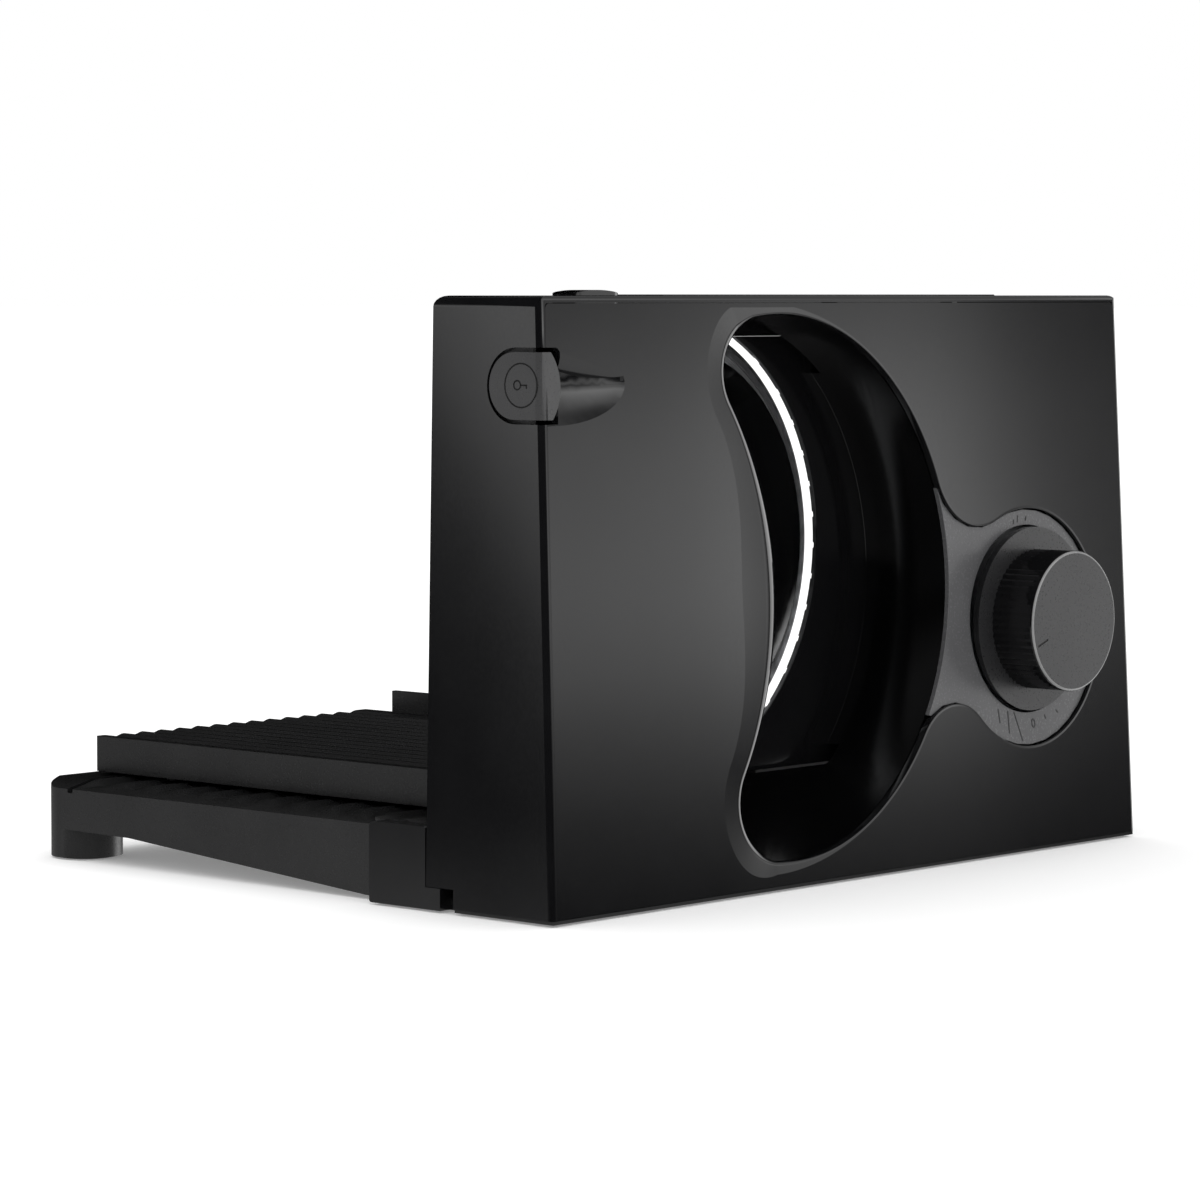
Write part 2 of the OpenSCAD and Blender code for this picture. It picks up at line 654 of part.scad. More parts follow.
// Involute gear drawing: one tooth centred on the first axis
function involute(rb, r) = let (t = sqrt(max(0, r * r / (rb * rb) - 1)) * 180 / PI) t - atan(t * PI / 180);
module gear2d(z, m) {
    rp = m * z / 2;
    rb = rp * cos(20);
    tip = rp + 0.8 * m;
    root = rp - 1.1 * m;
    half = 90 / z - 0.09 * m / rp * 180 / PI;
    low = max(rb, root);
    radii = [for (i = [0 : 3]) low + (tip - low) * i / 3];
    function side(r) = half + involute(rb, rp) - involute(rb, r);
    polygon([for (k = [0 : z - 1]) let (a = 360 * k / z) each concat(
        [root * dir(a - side(low) - 0.3)],
        [for (r = radii) r * dir(a - side(r))],
        [for (i = [3 : -1 : 0]) radii[i] * dir(a + side(radii[i]))],
        [root * dir(a + side(low) + 0.3)])]);
}
// Gear across Y with a tooth pointing along angle a as seen from the front
module gear_y(c, y0, l, z, m, a) along_y(y0, l) translate(c) rotate(a) gear2d(z, m);

module gear_plate() color("#303236") difference() {
    union() {
        along_y(plate_y, plate_t) polygon([[10, plate_z], [blade_x, plate_z],
            [blade_x + 6, blade_z - 66], [blade_x + 17, blade_z - 16], [blade_x + 17, blade_z + 16],
            [blade_x + 6, blade_z + 64], [blade_x - 48, housing_h - 5], [10, housing_h - 5]]);
        rod_y(blade_c, plate_y - 8, 8 + plate_t, axle_r + 6);
        rod_y(idler_c, plate_y - 3, 3 + plate_t, idler_axle_r + 3);
        // Shelf under the on button and rib behind the lock button
        translate([26, 18, shelf_z - 3]) cube([50, plate_y - 18 + 1, 3]);
        translate([rib_x, 17, lock_z - 10]) cube([3, plate_y - 17 + 1, 20]);
    }
    rod_y(blade_c, 0, far, axle_r + seat_gap);
    rod_y(idler_c, 0, far, idler_axle_r + seat_gap);
    rod_y(motor_c, 0, far, motor_pitch_r + motor_module + 1);
    for (p = plate_screws_at) rod_y(p, 0, far, screw_r + 0.1);
}
module motor() color("#8d9094") difference() {
    union() {
        rod_y(motor_c, 9.5, plate_y - 9.5, motor_d / 2);
        rod_y(motor_c, 8.2, 2, motor_d / 5);
        along_y(plate_y - 2, 2) translate(motor_c) slot2d(motor_d + 14, 14);
    }
    rod_y(motor_c, plate_y - 12, 20, motor_shaft_r + run_gap);
}
module motor_pinion() color("ivory") {
    gear_y(motor_c, motor_gear_y, motor_gear_t, pinion_teeth, motor_module, motor_a + 180);
    rod_y(motor_c, plate_y - 10, motor_gear_y - plate_y + 10 + eps, motor_shaft_r);
}
module idler_gear() color("ivory") difference() {
    union() {
        gear_y(idler_c, motor_gear_y, motor_gear_t, idler_teeth, motor_module,
            motor_a + 180 / idler_teeth);
        gear_y(idler_c, motor_gear_y + motor_gear_t - eps, blade_gear_y + blade_gear_t + 0.5
            - motor_gear_y - motor_gear_t, pinion_teeth, blade_module, idler_a + 180);
    }
    rod_y(idler_c, 0, far, idler_axle_r + run_gap);
}
module idler_axle() color(steel)
    rod_y(idler_c, plate_y - 3, blade_gear_y + blade_gear_t + 1 - plate_y + 3, idler_axle_r);
module blade_axle() color(steel)
    rod_y(blade_c, plate_y - 8, blade_front - plate_y + 8, axle_r);
module axle_bush() color("#b08d57") difference() {
    rod_y(blade_c, plate_y + plate_t + 0.4, blade_front - plate_y - plate_t - 0.6, axle_r + bush_t);
    rod_y(blade_c, 0, far, axle_r + run_gap);
}
module blade_gear() color("ivory") difference() {
    union() {
        rod_y(blade_c, plate_y + plate_t + 0.4, blade_front - plate_y - plate_t - 0.4, hub_r);
        gear_y(blade_c, blade_gear_y, blade_gear_t, blade_teeth, blade_module,
            idler_a + 180 / blade_teeth);
        rod_y(blade_c, blade_front - 1, blade_t + 1, spigot_r);
    }
    rod_y(blade_c, 0, blade_front + 0.2, axle_r + bush_t + seat_gap);
}
// Ring of points about the blade axle, its radius waved by w
per_wave = 4;
wave_n = wave_count * per_wave;
function blade_ring(y, r, w) = [for (i = [0 : wave_n - 1]) let (a = -360 * i / wave_n,
    p = blade_c + (r + w * cos(wave_count * a)) * dir(a)) [p[0], y, p[1]]];
module blade() color(steel) {
    inner = blade_r - 2.5 * bevel_w;
    edge = 0.1;
    difference() {
        rod_y(blade_c, blade_front + seat_gap, blade_t - 2 * seat_gap, inner + 1);
        rod_y(blade_c, 0, far, spigot_r + seat_gap);
    }
    ring_loft([blade_ring(blade_front, inner, 0), blade_ring(blade_front, blade_r - bevel_w, 0.7),
        blade_ring(blade_back - edge, blade_r, 0), blade_ring(blade_back, blade_r, 0),
        blade_ring(blade_back, inner, 0)]);
}
module blade_lock() color(plastic) {
    lock_plate_r = blade_r * 0.27;
    rod_y(blade_c, blade_back, 1.2, lock_plate_r);
    along_y(blade_back + 1.2 - eps, 1.6) translate(blade_c) slot2d(1.5 * lock_plate_r, 7);
}

module base_plate() color(plastic) {
    ear_y = housing_d + 0.6;
    difference() {
        union() {
            translate([0.8, 0.8, base_low])
                cube([housing_w - 1.6, housing_d - 14.4, base_lip - base_low]);
            translate([wall + slide_gap, wall + 1.5, base_low])
                cube([housing_w - 2 * wall - 2 * slide_gap, back_in - wall - 1.5 - slide_gap, base_t]);
            mirrored() {
                translate([strip_x, housing_d - 16, base_low]) cube([strip_w, 16.2, base_t + 1.5]);
                translate([0.4, housing_d - 6.7, base_low]) cube([ear_w - 0.4, 7.5, 8]);
                along_x(0.4, ear_w - 0.4) polygon(rounded([[ear_y, base_low], [ear_end, base_low],
                    [ear_end, ear_top], [ear_y, ear_top]], [0, 1, 2, 1]));
            }
        }
        for (p = base_screws_at) translate([p[0], p[1], -1]) {
            cylinder(h = 10, r = screw_r + 0.1);
            cylinder(h = 1 + base_low + sink, r = 3.2);
        }
        for (x = [30, housing_w - 30], y = [12, 38]) translate([x, y, -1])
            cylinder(h = 1 + base_low + 1.2, r = 6.2);
        mirrored() rod_x(1.6, hinge_y, hinge_z, ear_w, hinge_r + seat_gap);
    }
}
module base_feet() color("#202020")
    for (x = [30, housing_w - 30], y = [12, 38]) translate([x, y, 0])
        cylinder(h = base_low + 1.2 - seat_gap, r = 6);
module screw_along(l, head) {
    cylinder(h = l, r = screw_r - 0.05);
    cylinder(h = head, r1 = 2.9, r2 = 2.4);
}
module base_screws() color(steel) for (p = base_screws_at)
    translate([p[0], p[1], base_low + sink - low_head - seat_gap]) screw_along(13, low_head);
module frame_screws() color(steel) {
    for (p = plate_screws_at) translate([p[0], plate_y - 1.8, p[1]]) rotate([-90, 0, 0])
        screw_along(10, 1.8 - seat_gap);
    for (p = frame_screws_at) translate([p[0], frame_y - 1.8, p[1]]) rotate([-90, 0, 0])
        screw_along(8, 1.8 - seat_gap);
}
module hinge_pins() color(steel) mirrored() rod_x(1.6, hinge_y, hinge_z, 14.6, hinge_r);

module tray_outline(d) {
    x0 = tray_x0 + d;
    x1 = tray_x1 - d;
    r = tray_r - d;
    translate([x0, tray_near]) square([x1 - x0, tray_end - tray_r - tray_near]);
    translate([x0 + r, tray_near]) square([x1 - x0 - 2 * r, tray_end - d - tray_near]);
    for (x = [x0 + r, x1 - r]) translate([x, tray_end - tray_r]) circle(r);
}
function tray_z(y) = y > slot_y - 3 ? tray_top
    : tray_top - tray_wave_h / 2 * (1 - cos(360 * (slot_y - 3 - y) / tray_wave));
module tray() color(plastic) difference() {
    step = tray_wave / 8;
    foot_c = [tray_x0 + tray_r, tray_end - tray_r];
    union() {
        intersection() {
            translate([0, 0, -1]) linear_extrude(housing_h) tray_outline(0);
            along_x(tray_x0 - 1, tray_x1 - tray_x0 + 2) polygon(concat(
                [[tray_end + 1, tray_top - 3.8], [tray_end + 1, tray_top]],
                [for (y = [slot_y - 3 : -step : tray_near]) [y, tray_z(y)]],
                [[tray_near - 1, tray_z(tray_near)], [tray_near - 1, tray_top - 3.8]]));
        }
        // Side and end walls with an arched lower edge
        intersection() {
            linear_extrude(tray_top - 2) difference() {
                tray_outline(0);
                translate([0, -1]) tray_outline(tray_wall);
                translate([0, -eps]) square([housing_w, hinge_y - 5]);
            }
            along_x(0, housing_w) polygon([[hinge_y - 5, 1.5], [ear_end + 10, 1.5],
                [slot_y - 34, 11.5], [tray_end + 1, 12], [tray_end + 1, far], [hinge_y - 5, far]]);
        }
        mirrored() {
            translate([foot_c[0], foot_c[1], foot_h]) cylinder(h = tray_top - 2 - foot_h, r = tray_r);
            rod_x(tray_x0, hinge_y, hinge_z, 8.5, 4.6);
            translate([tray_x0, hinge_y - 4.6, hinge_z]) cube([8.5, 9.2, tray_top - 2 - hinge_z]);
        }
    }
    mirrored() {
        rod_x(tray_x0 - 1, hinge_y, hinge_z, 9, hinge_r + run_gap);
        translate([foot_c[0], foot_c[1], -1]) cylinder(h = 3.6, r = tray_r - 2.5);
    }
    // Borders that slope down to the side walls
    mirrored() along_y(ear_end + 5, far) polygon([[tray_x0 - 1, tray_top - edge_drop],
        [tray_x0, tray_top - edge_drop], [tray_x0 + edge_w, tray_top], [tray_x0 + edge_w, far],
        [tray_x0 - 1, far]]);
    // Guide slot of the carriage, open at the left wall
    translate([tray_x0 - 1, slot_y - slot_w / 2, tray_top - 4.5])
        cube([tray_x1 - tray_x0 - 4, slot_w, 6]);
}
module tray_foot_pads() color("#202020") mirrored()
    translate([tray_x0 + tray_r, tray_end - tray_r, 0])
        cylinder(h = 2.6 - seat_gap, r = tray_r - 2.5 - 0.2);

module carriage() color(plastic) {
    x1 = carriage_x + carriage_w;
    y1 = tray_end - 7;
    low = tray_top + 1.2;
    rim = 4;
    ridge = 1.1;
    step = ridge_pitch / 8;
    ridges = floor((carriage_w - 2 * rim) / ridge_pitch);
    r0 = carriage_x + rim;
    r1 = r0 + ridges * ridge_pitch;
    difference() {
        along_y(tray_near, y1 - tray_near) polygon(concat([[carriage_x, low],
            [carriage_x, carriage_top]], [for (x = [r0 : step : r1 + eps])
                [x, carriage_top - ridge / 2 * (1 - cos(360 * (x - r0) / ridge_pitch))]],
            [[x1, carriage_top], [x1, low]]));
        translate([carriage_x + wall, tray_near + wall, low - 1])
            cube([carriage_w - 2 * wall, y1 - tray_near - 2 * wall,
                carriage_top - ridge - wall - low + 1]);
    }
    // Low stop that pushes the food along
    translate([x1 - wall, hinge_y - 10, carriage_top - 1]) cube([wall, y1 - hinge_y - 8, 10]);
    // Glides on the tray crests, and the fin with its hook in the guide slot
    for (y = [tray_near + 12, slot_y - 30])
        translate([carriage_x + wall - 0.5, y, tray_top + 0.3])
            cube([carriage_w - 2 * wall + 1, 4, carriage_top - tray_top - 4]);
    fin = slot_w - 2 * slide_gap;
    translate([carriage_x + 30, slot_y - fin / 2, tray_top - 5])
        cube([carriage_w - 60, fin, carriage_top - tray_top + 2]);
    translate([carriage_x + 30, slot_y - 3.2, tray_top - 6.3]) cube([carriage_w - 60, 6.4, 2]);
}

module lock_button() color(plastic) difference() {
    union() {
        intersection() {
            along_x(end_x(lock_z) - 0.6, lock_back_x) lock_shape(0);
            lock_end(end_x(lock_z) - 0.6 + lock_back_x);
            lean() translate([0, -0.3, 0]) cube([far, far, far]);
        }
        // Flange behind the end wall
        intersection() {
            along_x(end_draft + wall + slide_gap, 1.6) lock_shape(3);
            translate([0, 15, 0]) cube([far, far, far]);
        }
    }
    translate([end_x(lock_z) - 0.6, front_y(lock_z) - 0.3, 0])
        translate([-1, -1, 0]) linear_extrude(far) difference() {
            square(4);
            translate([4, 4]) circle(3);
        }
    // Pocket of the spring
    translate([4.5, 16, lock_z - 7]) cube([far, 12, 14]);
}
function helix(turns, r, l) = [for (i = [0 : turns * 8]) let (a = 45 * i)
    [r * cos(a), r * sin(a), l * i / (turns * 8)]];
// Coil of round wire along Z, six sides to the wire
module coil(turns, r, l, wire) {
    path = helix(turns, r, l);
    n = len(path);
    points = [for (i = [0 : n - 1]) let (a = 45 * i) for (k = [0 : 5])
        path[i] + wire * [cos(60 * k) * cos(a), cos(60 * k) * sin(a), sin(60 * k)]];
    polyhedron(points = points, faces = concat(
        [for (i = [0 : n - 2], k = [0 : 5]) let (a = 6 * i + k, b = 6 * i + (k + 1) % 6)
            each [[a, a + 6, b], [b, a + 6, b + 6]]],
        [[0, 1, 2, 3, 4, 5], [for (k = [5 : -1 : 0]) 6 * (n - 1) + k]]));
}
module lock_spring() color(steel) {
    x0 = 4.5 + 0.7;
    translate([0, 22, lock_z]) translate([x0, 0, 0]) rotate([0, 90, 0])
        coil(5, 4, rib_x - x0 - 0.7, 0.45);
}
module power_button() color(plastic) {
    translate([power_c[0], power_c[1], 0]) {
        intersection() {
            translate([0, 0, flange_z + 3]) linear_extrude(housing_h + power_rise - flange_z - 3)
                slot2d(power_l, power_w);
            rod_y([0, housing_h + power_rise - power_arch_r], -power_w, 2 * power_w, power_arch_r);
        }
        translate([0, 0, flange_z + 0.6]) linear_extrude(3)
            slot2d(power_l + 6, power_w - 1);
        translate([8, 0, flange_z - 1]) cylinder(h = 2, r = 2);
    }
}
module power_spring() color(steel) {
    z0 = shelf_z + 0.5;
    translate([power_c[0] - 8, power_c[1], z0]) coil(5, 4, flange_z + 0.1 - z0, 0.45);
}
module micro_switch() color("#26282b") {
    body_h = 7;
    plunger_z = flange_z - 1.6 - power_travel;
    translate([power_c[0] - 2, power_c[1] - 4, shelf_z]) cube([20, 8, body_h]);
    translate([power_c[0] + 8, power_c[1], shelf_z + body_h - eps])
        cylinder(h = plunger_z - shelf_z - body_h, r = 1.5);
}
module cord_gland() color("#202020") difference() {
    union() {
        rod_x(housing_w - 1.7 + seat_gap, gland_y, gland_z, 1.3, gland_r + 3);
        rod_x(housing_w - 9, gland_y, gland_z, 8, gland_r);
    }
    rod_x(housing_w - 20, gland_y, gland_z, 40, gland_r - 1.6);
}

// The whole stands with the middle of its box over the origin
module place() translate([-housing_w / 2, (knob_reach - tray_end) / 2, 0]) children();

place() main_housing();
place() front_cover();
place() exit_chute();
place() dial_plate();
place() base_plate();
place() base_feet();
place() base_screws();
place() gear_plate();
place() frame_screws();
place() motor();
place() motor_pinion();
place() idler_gear();
place() idler_axle();
place() blade_axle();
place() axle_bush();
place() blade_gear();
place() blade();
place() blade_lock();
place() slide_frame();
place() guide_pins();
place() fence_plate();
place() fence_nut();
place() adjuster_screw();
place() thickness_knob();
place() lock_button();
place() lock_spring();
place() power_button();
place() power_spring();
place() micro_switch();
place() cord_gland();
place() tray();
place() tray_foot_pads();
place() hinge_pins();
place() carriage();
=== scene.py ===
import json
import math

import bmesh
import bpy
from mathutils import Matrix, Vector


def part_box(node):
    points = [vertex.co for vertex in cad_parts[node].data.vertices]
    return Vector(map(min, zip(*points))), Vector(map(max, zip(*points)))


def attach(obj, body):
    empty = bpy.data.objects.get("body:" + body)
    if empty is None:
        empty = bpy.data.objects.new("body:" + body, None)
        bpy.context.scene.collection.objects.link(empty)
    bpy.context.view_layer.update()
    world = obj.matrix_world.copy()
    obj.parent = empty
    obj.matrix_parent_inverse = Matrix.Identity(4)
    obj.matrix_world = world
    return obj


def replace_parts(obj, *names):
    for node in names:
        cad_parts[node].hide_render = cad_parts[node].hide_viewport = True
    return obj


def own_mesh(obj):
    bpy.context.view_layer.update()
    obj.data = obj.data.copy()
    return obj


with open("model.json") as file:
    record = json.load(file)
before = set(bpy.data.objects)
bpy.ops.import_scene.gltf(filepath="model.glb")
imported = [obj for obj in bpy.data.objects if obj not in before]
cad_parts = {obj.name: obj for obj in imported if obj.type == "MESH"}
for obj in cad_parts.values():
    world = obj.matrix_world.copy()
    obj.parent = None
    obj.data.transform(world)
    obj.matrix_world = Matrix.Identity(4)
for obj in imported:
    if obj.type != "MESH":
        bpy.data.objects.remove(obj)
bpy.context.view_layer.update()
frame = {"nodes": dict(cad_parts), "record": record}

# Lengths below are in millimetres as the part is drawn: X along the front, Y back, Z up
MM = 0.001
HOUSING_W = 350
HOUSING_H = 220
FRONT_LEAN = 9
END_DRAFT = 3
WALL = 2.5
BASE_LIP = 2
KNOB_REACH = 17.8
COVER_GAP = 0.1
COVER_TOP = HOUSING_H - WALL - COVER_GAP

record = frame["record"]
BODY = {n: b for b, nodes in record["behaviour"]["bodies"].items() for n in nodes}
SLOT = {s["node"]: s["material_slot"] for s in record["subparts"]}
LEFT_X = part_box("main_housing")[0].x
FRONT_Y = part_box("thickness_knob")[0].y + KNOB_REACH * MM
LEAN = math.atan(FRONT_LEAN / HOUSING_H)
FRONT_NORMAL = Vector((0, -math.cos(LEAN), math.sin(LEAN)))


def at(x, y, z):
    """A point of the drawing in the shared frame, in metres."""
    return Vector((LEFT_X + x * MM, FRONT_Y + y * MM, z * MM))


def on_front(x, s, d):
    """A point at x, up the leaning front by s and behind it by d."""
    return at(x, d * math.cos(LEAN) + s * math.sin(LEAN), s * math.cos(LEAN) - d * math.sin(LEAN))


# Plane geometry in the front: points are (x, s), angles are in degrees
def ray(a):
    """Unit vector at an angle."""
    return Vector((math.cos(math.radians(a)), math.sin(math.radians(a))))


def aim(a, b):
    """Angle of the line from one point to another."""
    return math.degrees(math.atan2(b[1] - a[1], b[0] - a[0]))


def meet(c1, r1, c2, r2, side):
    """Where two circles cross, on the left (side 1) or right (side -1) of the line between them."""
    span = (c2 - c1).length
    u = (c2 - c1) / span
    a = (r1 * r1 - r2 * r2 + span * span) / (2 * span)
    h = math.sqrt(r1 * r1 - a * a)
    return c1 + a * u + side * h * Vector((-u.y, u.x))


def beside(c, r, level):
    """Point of a circle's right side at a level."""
    return Vector((c.x + math.sqrt(r ** 2 - (c.y - level) ** 2), level))


def turn_down(a, b):
    """Angle b, by whole turns, at or below a."""
    return b - 360 * math.ceil((b - a) / 360)


def turn_up(a, b):
    """Angle b, by whole turns, at or above a."""
    return b + 360 * math.ceil((a - b) / 360)


def arc(c, r, a, b, n, out=1):
    """Stations along an arc: a point and its normal away from the opening."""
    return [(c + r * ray(a + (b - a) * i / n), out * ray(a + (b - a) * i / n)) for i in range(n)]


def smoothstep(t):
    t = max(0.0, min(1.0, t))
    return t * t * (3 - 2 * t)


# Outline of the slice outlet and of the dial recess that a neck joins to it
FINE = 5
OUTLET_C = Vector((130.5, 112))
OUTLET_R = 102.2
TOP_LOBE_R, TOP_LOBE_A = 22, 97
LOW_LOBE_R, LOW_LOBE_A = 23.4, -94.4
BULGE_R = 123
KNOB_C = Vector((282.5, 92.4))
DIAL_C = Vector((282.1, 89.1))
DIAL_R = 47
NECK_TOP_R, NECK_LOW_R = 28, 24
TOP_LOBE_C = OUTLET_C + (OUTLET_R - TOP_LOBE_R) * ray(TOP_LOBE_A)
LOW_LOBE_C = OUTLET_C + (OUTLET_R - LOW_LOBE_R) * ray(LOW_LOBE_A)
BULGE_C = meet(LOW_LOBE_C, BULGE_R + LOW_LOBE_R, TOP_LOBE_C, BULGE_R + TOP_LOBE_R, 1)
NECK_TOP_C = meet(OUTLET_C, OUTLET_R + NECK_TOP_R, DIAL_C, DIAL_R + NECK_TOP_R, 1)
NECK_LOW_C = meet(OUTLET_C, OUTLET_R + NECK_LOW_R, DIAL_C, DIAL_R + NECK_LOW_R, -1)

low_lobe = arc(LOW_LOBE_C, LOW_LOBE_R, LOW_LOBE_A,
               turn_down(LOW_LOBE_A, aim(LOW_LOBE_C, BULGE_C)), 12 * FINE)
bulge = arc(BULGE_C, BULGE_R, aim(BULGE_C, LOW_LOBE_C),
            turn_up(aim(BULGE_C, LOW_LOBE_C), aim(BULGE_C, TOP_LOBE_C)), 16 * FINE, -1)
top_lobe = arc(TOP_LOBE_C, TOP_LOBE_R, aim(TOP_LOBE_C, BULGE_C) + 360, TOP_LOBE_A, 12 * FINE)
left_side = low_lobe + bulge + top_lobe
dial_side = (
    arc(NECK_TOP_C, NECK_TOP_R, aim(NECK_TOP_C, OUTLET_C),
        turn_up(aim(NECK_TOP_C, OUTLET_C), aim(NECK_TOP_C, DIAL_C)), 4 * FINE, -1)
    + arc(DIAL_C, DIAL_R, aim(DIAL_C, NECK_TOP_C),
          turn_down(aim(DIAL_C, NECK_TOP_C), aim(DIAL_C, NECK_LOW_C)), 24 * FINE)
    + arc(NECK_LOW_C, NECK_LOW_R, aim(NECK_LOW_C, DIAL_C),
          turn_up(aim(NECK_LOW_C, DIAL_C), aim(NECK_LOW_C, OUTLET_C)), 4 * FINE, -1))
cover_side = (arc(OUTLET_C, OUTLET_R, TOP_LOBE_A, aim(OUTLET_C, NECK_TOP_C), 14 * FINE)
              + dial_side
              + arc(OUTLET_C, OUTLET_R, aim(OUTLET_C, NECK_LOW_C), LOW_LOBE_A, 10 * FINE)
              + left_side)

# Rolled lip: wide and deep where the edge faces left, narrow on the right and round the dial
LIP_W, LIP_W_MID, LIP_LEAST = 7.5, 8.5, 1
LIP_IN, LIP_IN_MID = 3.7, 1.8
LIP_HALF = 70
LIP_FLAT, LIP_SLOPE = 0.7, 0.027
LIP_DROP, LIP_LEAST_DROP = 2.6, 0.4
LIP_FADE, LIP_FULL = 0.45, -0.8
LIP_RIGHT = OUTLET_C.x + 0.6 * OUTLET_R
LIP_UNDER = 1.6
LIP_TOP = COVER_TOP - LIP_UNDER
LIP_RISE = 0.05


def lip_share(point, normal):
    """1 where the edge faces left, down to 0 where it faces right."""
    if point.x > LIP_RIGHT:
        return 0.0
    return smoothstep((LIP_FADE - normal.x) / (LIP_FADE - LIP_FULL))


def lip_middle(point):
    """1 at the height of the outlet's middle, down to 0 towards its lobes."""
    return smoothstep(1 - abs(point.y - OUTLET_C.y) / LIP_HALF)


def lip_width(point, normal):
    """Width of the lip outside the drawn edge, kept under the top of the cover."""
    most = LIP_W + LIP_W_MID * lip_middle(point)
    full = LIP_LEAST + (most - LIP_LEAST) * lip_share(point, normal)
    if normal.y > LIP_RISE:
        return min(full, (LIP_TOP - point.y) / normal.y)
    return full


def lip_depth(point, normal):
    """Drop of the round along the edge."""
    return LIP_LEAST_DROP + (LIP_DROP - LIP_LEAST_DROP) * lip_share(point, normal)


def lip_inset(point, normal):
    """How far the rolled edge reaches into the opening."""
    return lip_share(point, normal) * (LIP_IN + LIP_IN_MID * lip_middle(point))


def lip_fall(share, width, depth):
    """Drop at a share of the width out from the edge: nearly flat, then round."""
    inward = 1 - share
    u = max(0.0, inward - LIP_FLAT) / (1 - LIP_FLAT)
    slope = LIP_SLOPE * width * min(inward, LIP_FLAT)
    return slope + depth * (1 - math.sqrt(max(0.0, 1 - u * u)))


def lip_bottom(point, normal):
    """Drop at the edge of the opening."""
    width = lip_width(point, normal) + lip_inset(point, normal)
    return lip_fall(0, width, lip_depth(point, normal))


# Shader helpers
NOISE_LOW, NOISE_HIGH = 0.3, 0.7
BROAD_SCALE = 35
RING_SCALE, RING_HEIGHT = 2600, 0.004
BRUSH_SCALE, BRUSH_HEIGHT = 1400, 0.003


def new_material(name, color, roughness, metallic=0.0):
    mat = bpy.data.materials.new(name)
    mat.use_nodes = True
    bsdf = mat.node_tree.nodes["Principled BSDF"]
    bsdf.inputs["Base Color"].default_value = (*color, 1)
    bsdf.inputs["Roughness"].default_value = roughness
    bsdf.inputs["Metallic"].default_value = metallic
    return mat, mat.node_tree, bsdf


def add(tree, kind, **inputs):
    """A node with fixed values on its inputs."""
    node = tree.nodes.new(kind)
    for key, value in inputs.items():
        node.inputs[key.replace("_", " ")].default_value = value
    return node


def math_node(tree, operation, a, b):
    """Maths on two values, each a number or an output."""
    node = tree.nodes.new("ShaderNodeMath")
    node.operation = operation
    for socket, value in zip(node.inputs, (a, b)):
        if isinstance(value, (int, float)):
            socket.default_value = value
        else:
            tree.links.new(value, socket)
    return node.outputs["Value"]


def vector_node(tree, operation, source, other=None):
    """Outputs of vector maths on a source, with a fixed second vector where one is given."""
    node = tree.nodes.new("ShaderNodeVectorMath")
    node.operation = operation
    tree.links.new(source, node.inputs[0])
    if other is not None:
        node.inputs[1].default_value = other
    return node.outputs


def noise_on(tree, scale, detail):
    """Noise in the piece's own metres."""
    noise = add(tree, "ShaderNodeTexNoise", Scale=scale, Detail=detail)
    coords = tree.nodes.new("ShaderNodeTexCoord")
    tree.links.new(coords.outputs["Object"], noise.inputs["Vector"])
    return noise.outputs["Fac"]


def spread(tree, source, low, high):
    """Noise value mapped to a range."""
    span = add(tree, "ShaderNodeMapRange", From_Min=NOISE_LOW, From_Max=NOISE_HIGH,
               To_Min=low, To_Max=high)
    tree.links.new(source, span.inputs["Value"])
    return span.outputs["Result"]


def tint(tree, bsdf, source, dark, pale):
    """Colour that wanders between two shades."""
    ramp = tree.nodes.new("ShaderNodeValToRGB")
    stops = ((NOISE_LOW, dark), (NOISE_HIGH, pale))
    for element, (place, shade) in zip(ramp.color_ramp.elements, stops):
        element.position = place
        element.color = (*shade, 1)
    tree.links.new(source, ramp.inputs["Fac"])
    tree.links.new(ramp.outputs["Color"], bsdf.inputs["Base Color"])


def grain(tree, bsdf, source, smooth, rough, height):
    """Gloss and a low relief that follow a noise."""
    tree.links.new(spread(tree, source, smooth, rough), bsdf.inputs["Roughness"])
    relief = add(tree, "ShaderNodeBump", Strength=1.0, Distance=height * MM)
    tree.links.new(source, relief.inputs["Height"])
    tree.links.new(relief.outputs["Normal"], bsdf.inputs["Normal"])


def moulded(name, dark, pale, smooth, rough, scale, height):
    """Moulded plastic or rubber: colour and gloss wander, and a fine grain lies on top."""
    mat, tree, bsdf = new_material(name, dark, smooth)
    tint(tree, bsdf, noise_on(tree, BROAD_SCALE, 3), dark, pale)
    grain(tree, bsdf, noise_on(tree, scale, 2), smooth, rough, height)
    return mat


def turned(name, dark, pale, smooth, rough, centre, axis_scale):
    """Turned metal: rings about an axis, from noise in the distance to it."""
    mat, tree, bsdf = new_material(name, dark, smooth, 1.0)
    coords = tree.nodes.new("ShaderNodeTexCoord")
    shifted = vector_node(tree, "SUBTRACT", coords.outputs["Object"], centre)["Vector"]
    squeezed = vector_node(tree, "MULTIPLY", shifted, axis_scale)["Vector"]
    rings = add(tree, "ShaderNodeTexNoise", Scale=RING_SCALE, Detail=3)
    rings.noise_dimensions = "1D"
    tree.links.new(vector_node(tree, "LENGTH", squeezed)["Value"], rings.inputs["W"])
    tint(tree, bsdf, rings.outputs["Fac"], dark, pale)
    grain(tree, bsdf, rings.outputs["Fac"], smooth, rough, RING_HEIGHT)
    return mat


def brushed(name, dark, pale, smooth, rough):
    """Drawn or plated metal with a fine uneven gloss."""
    mat, tree, bsdf = new_material(name, dark, smooth, 1.0)
    fine = noise_on(tree, BRUSH_SCALE, 3)
    tint(tree, bsdf, fine, dark, pale)
    grain(tree, bsdf, fine, smooth, rough, BRUSH_HEIGHT)
    return mat


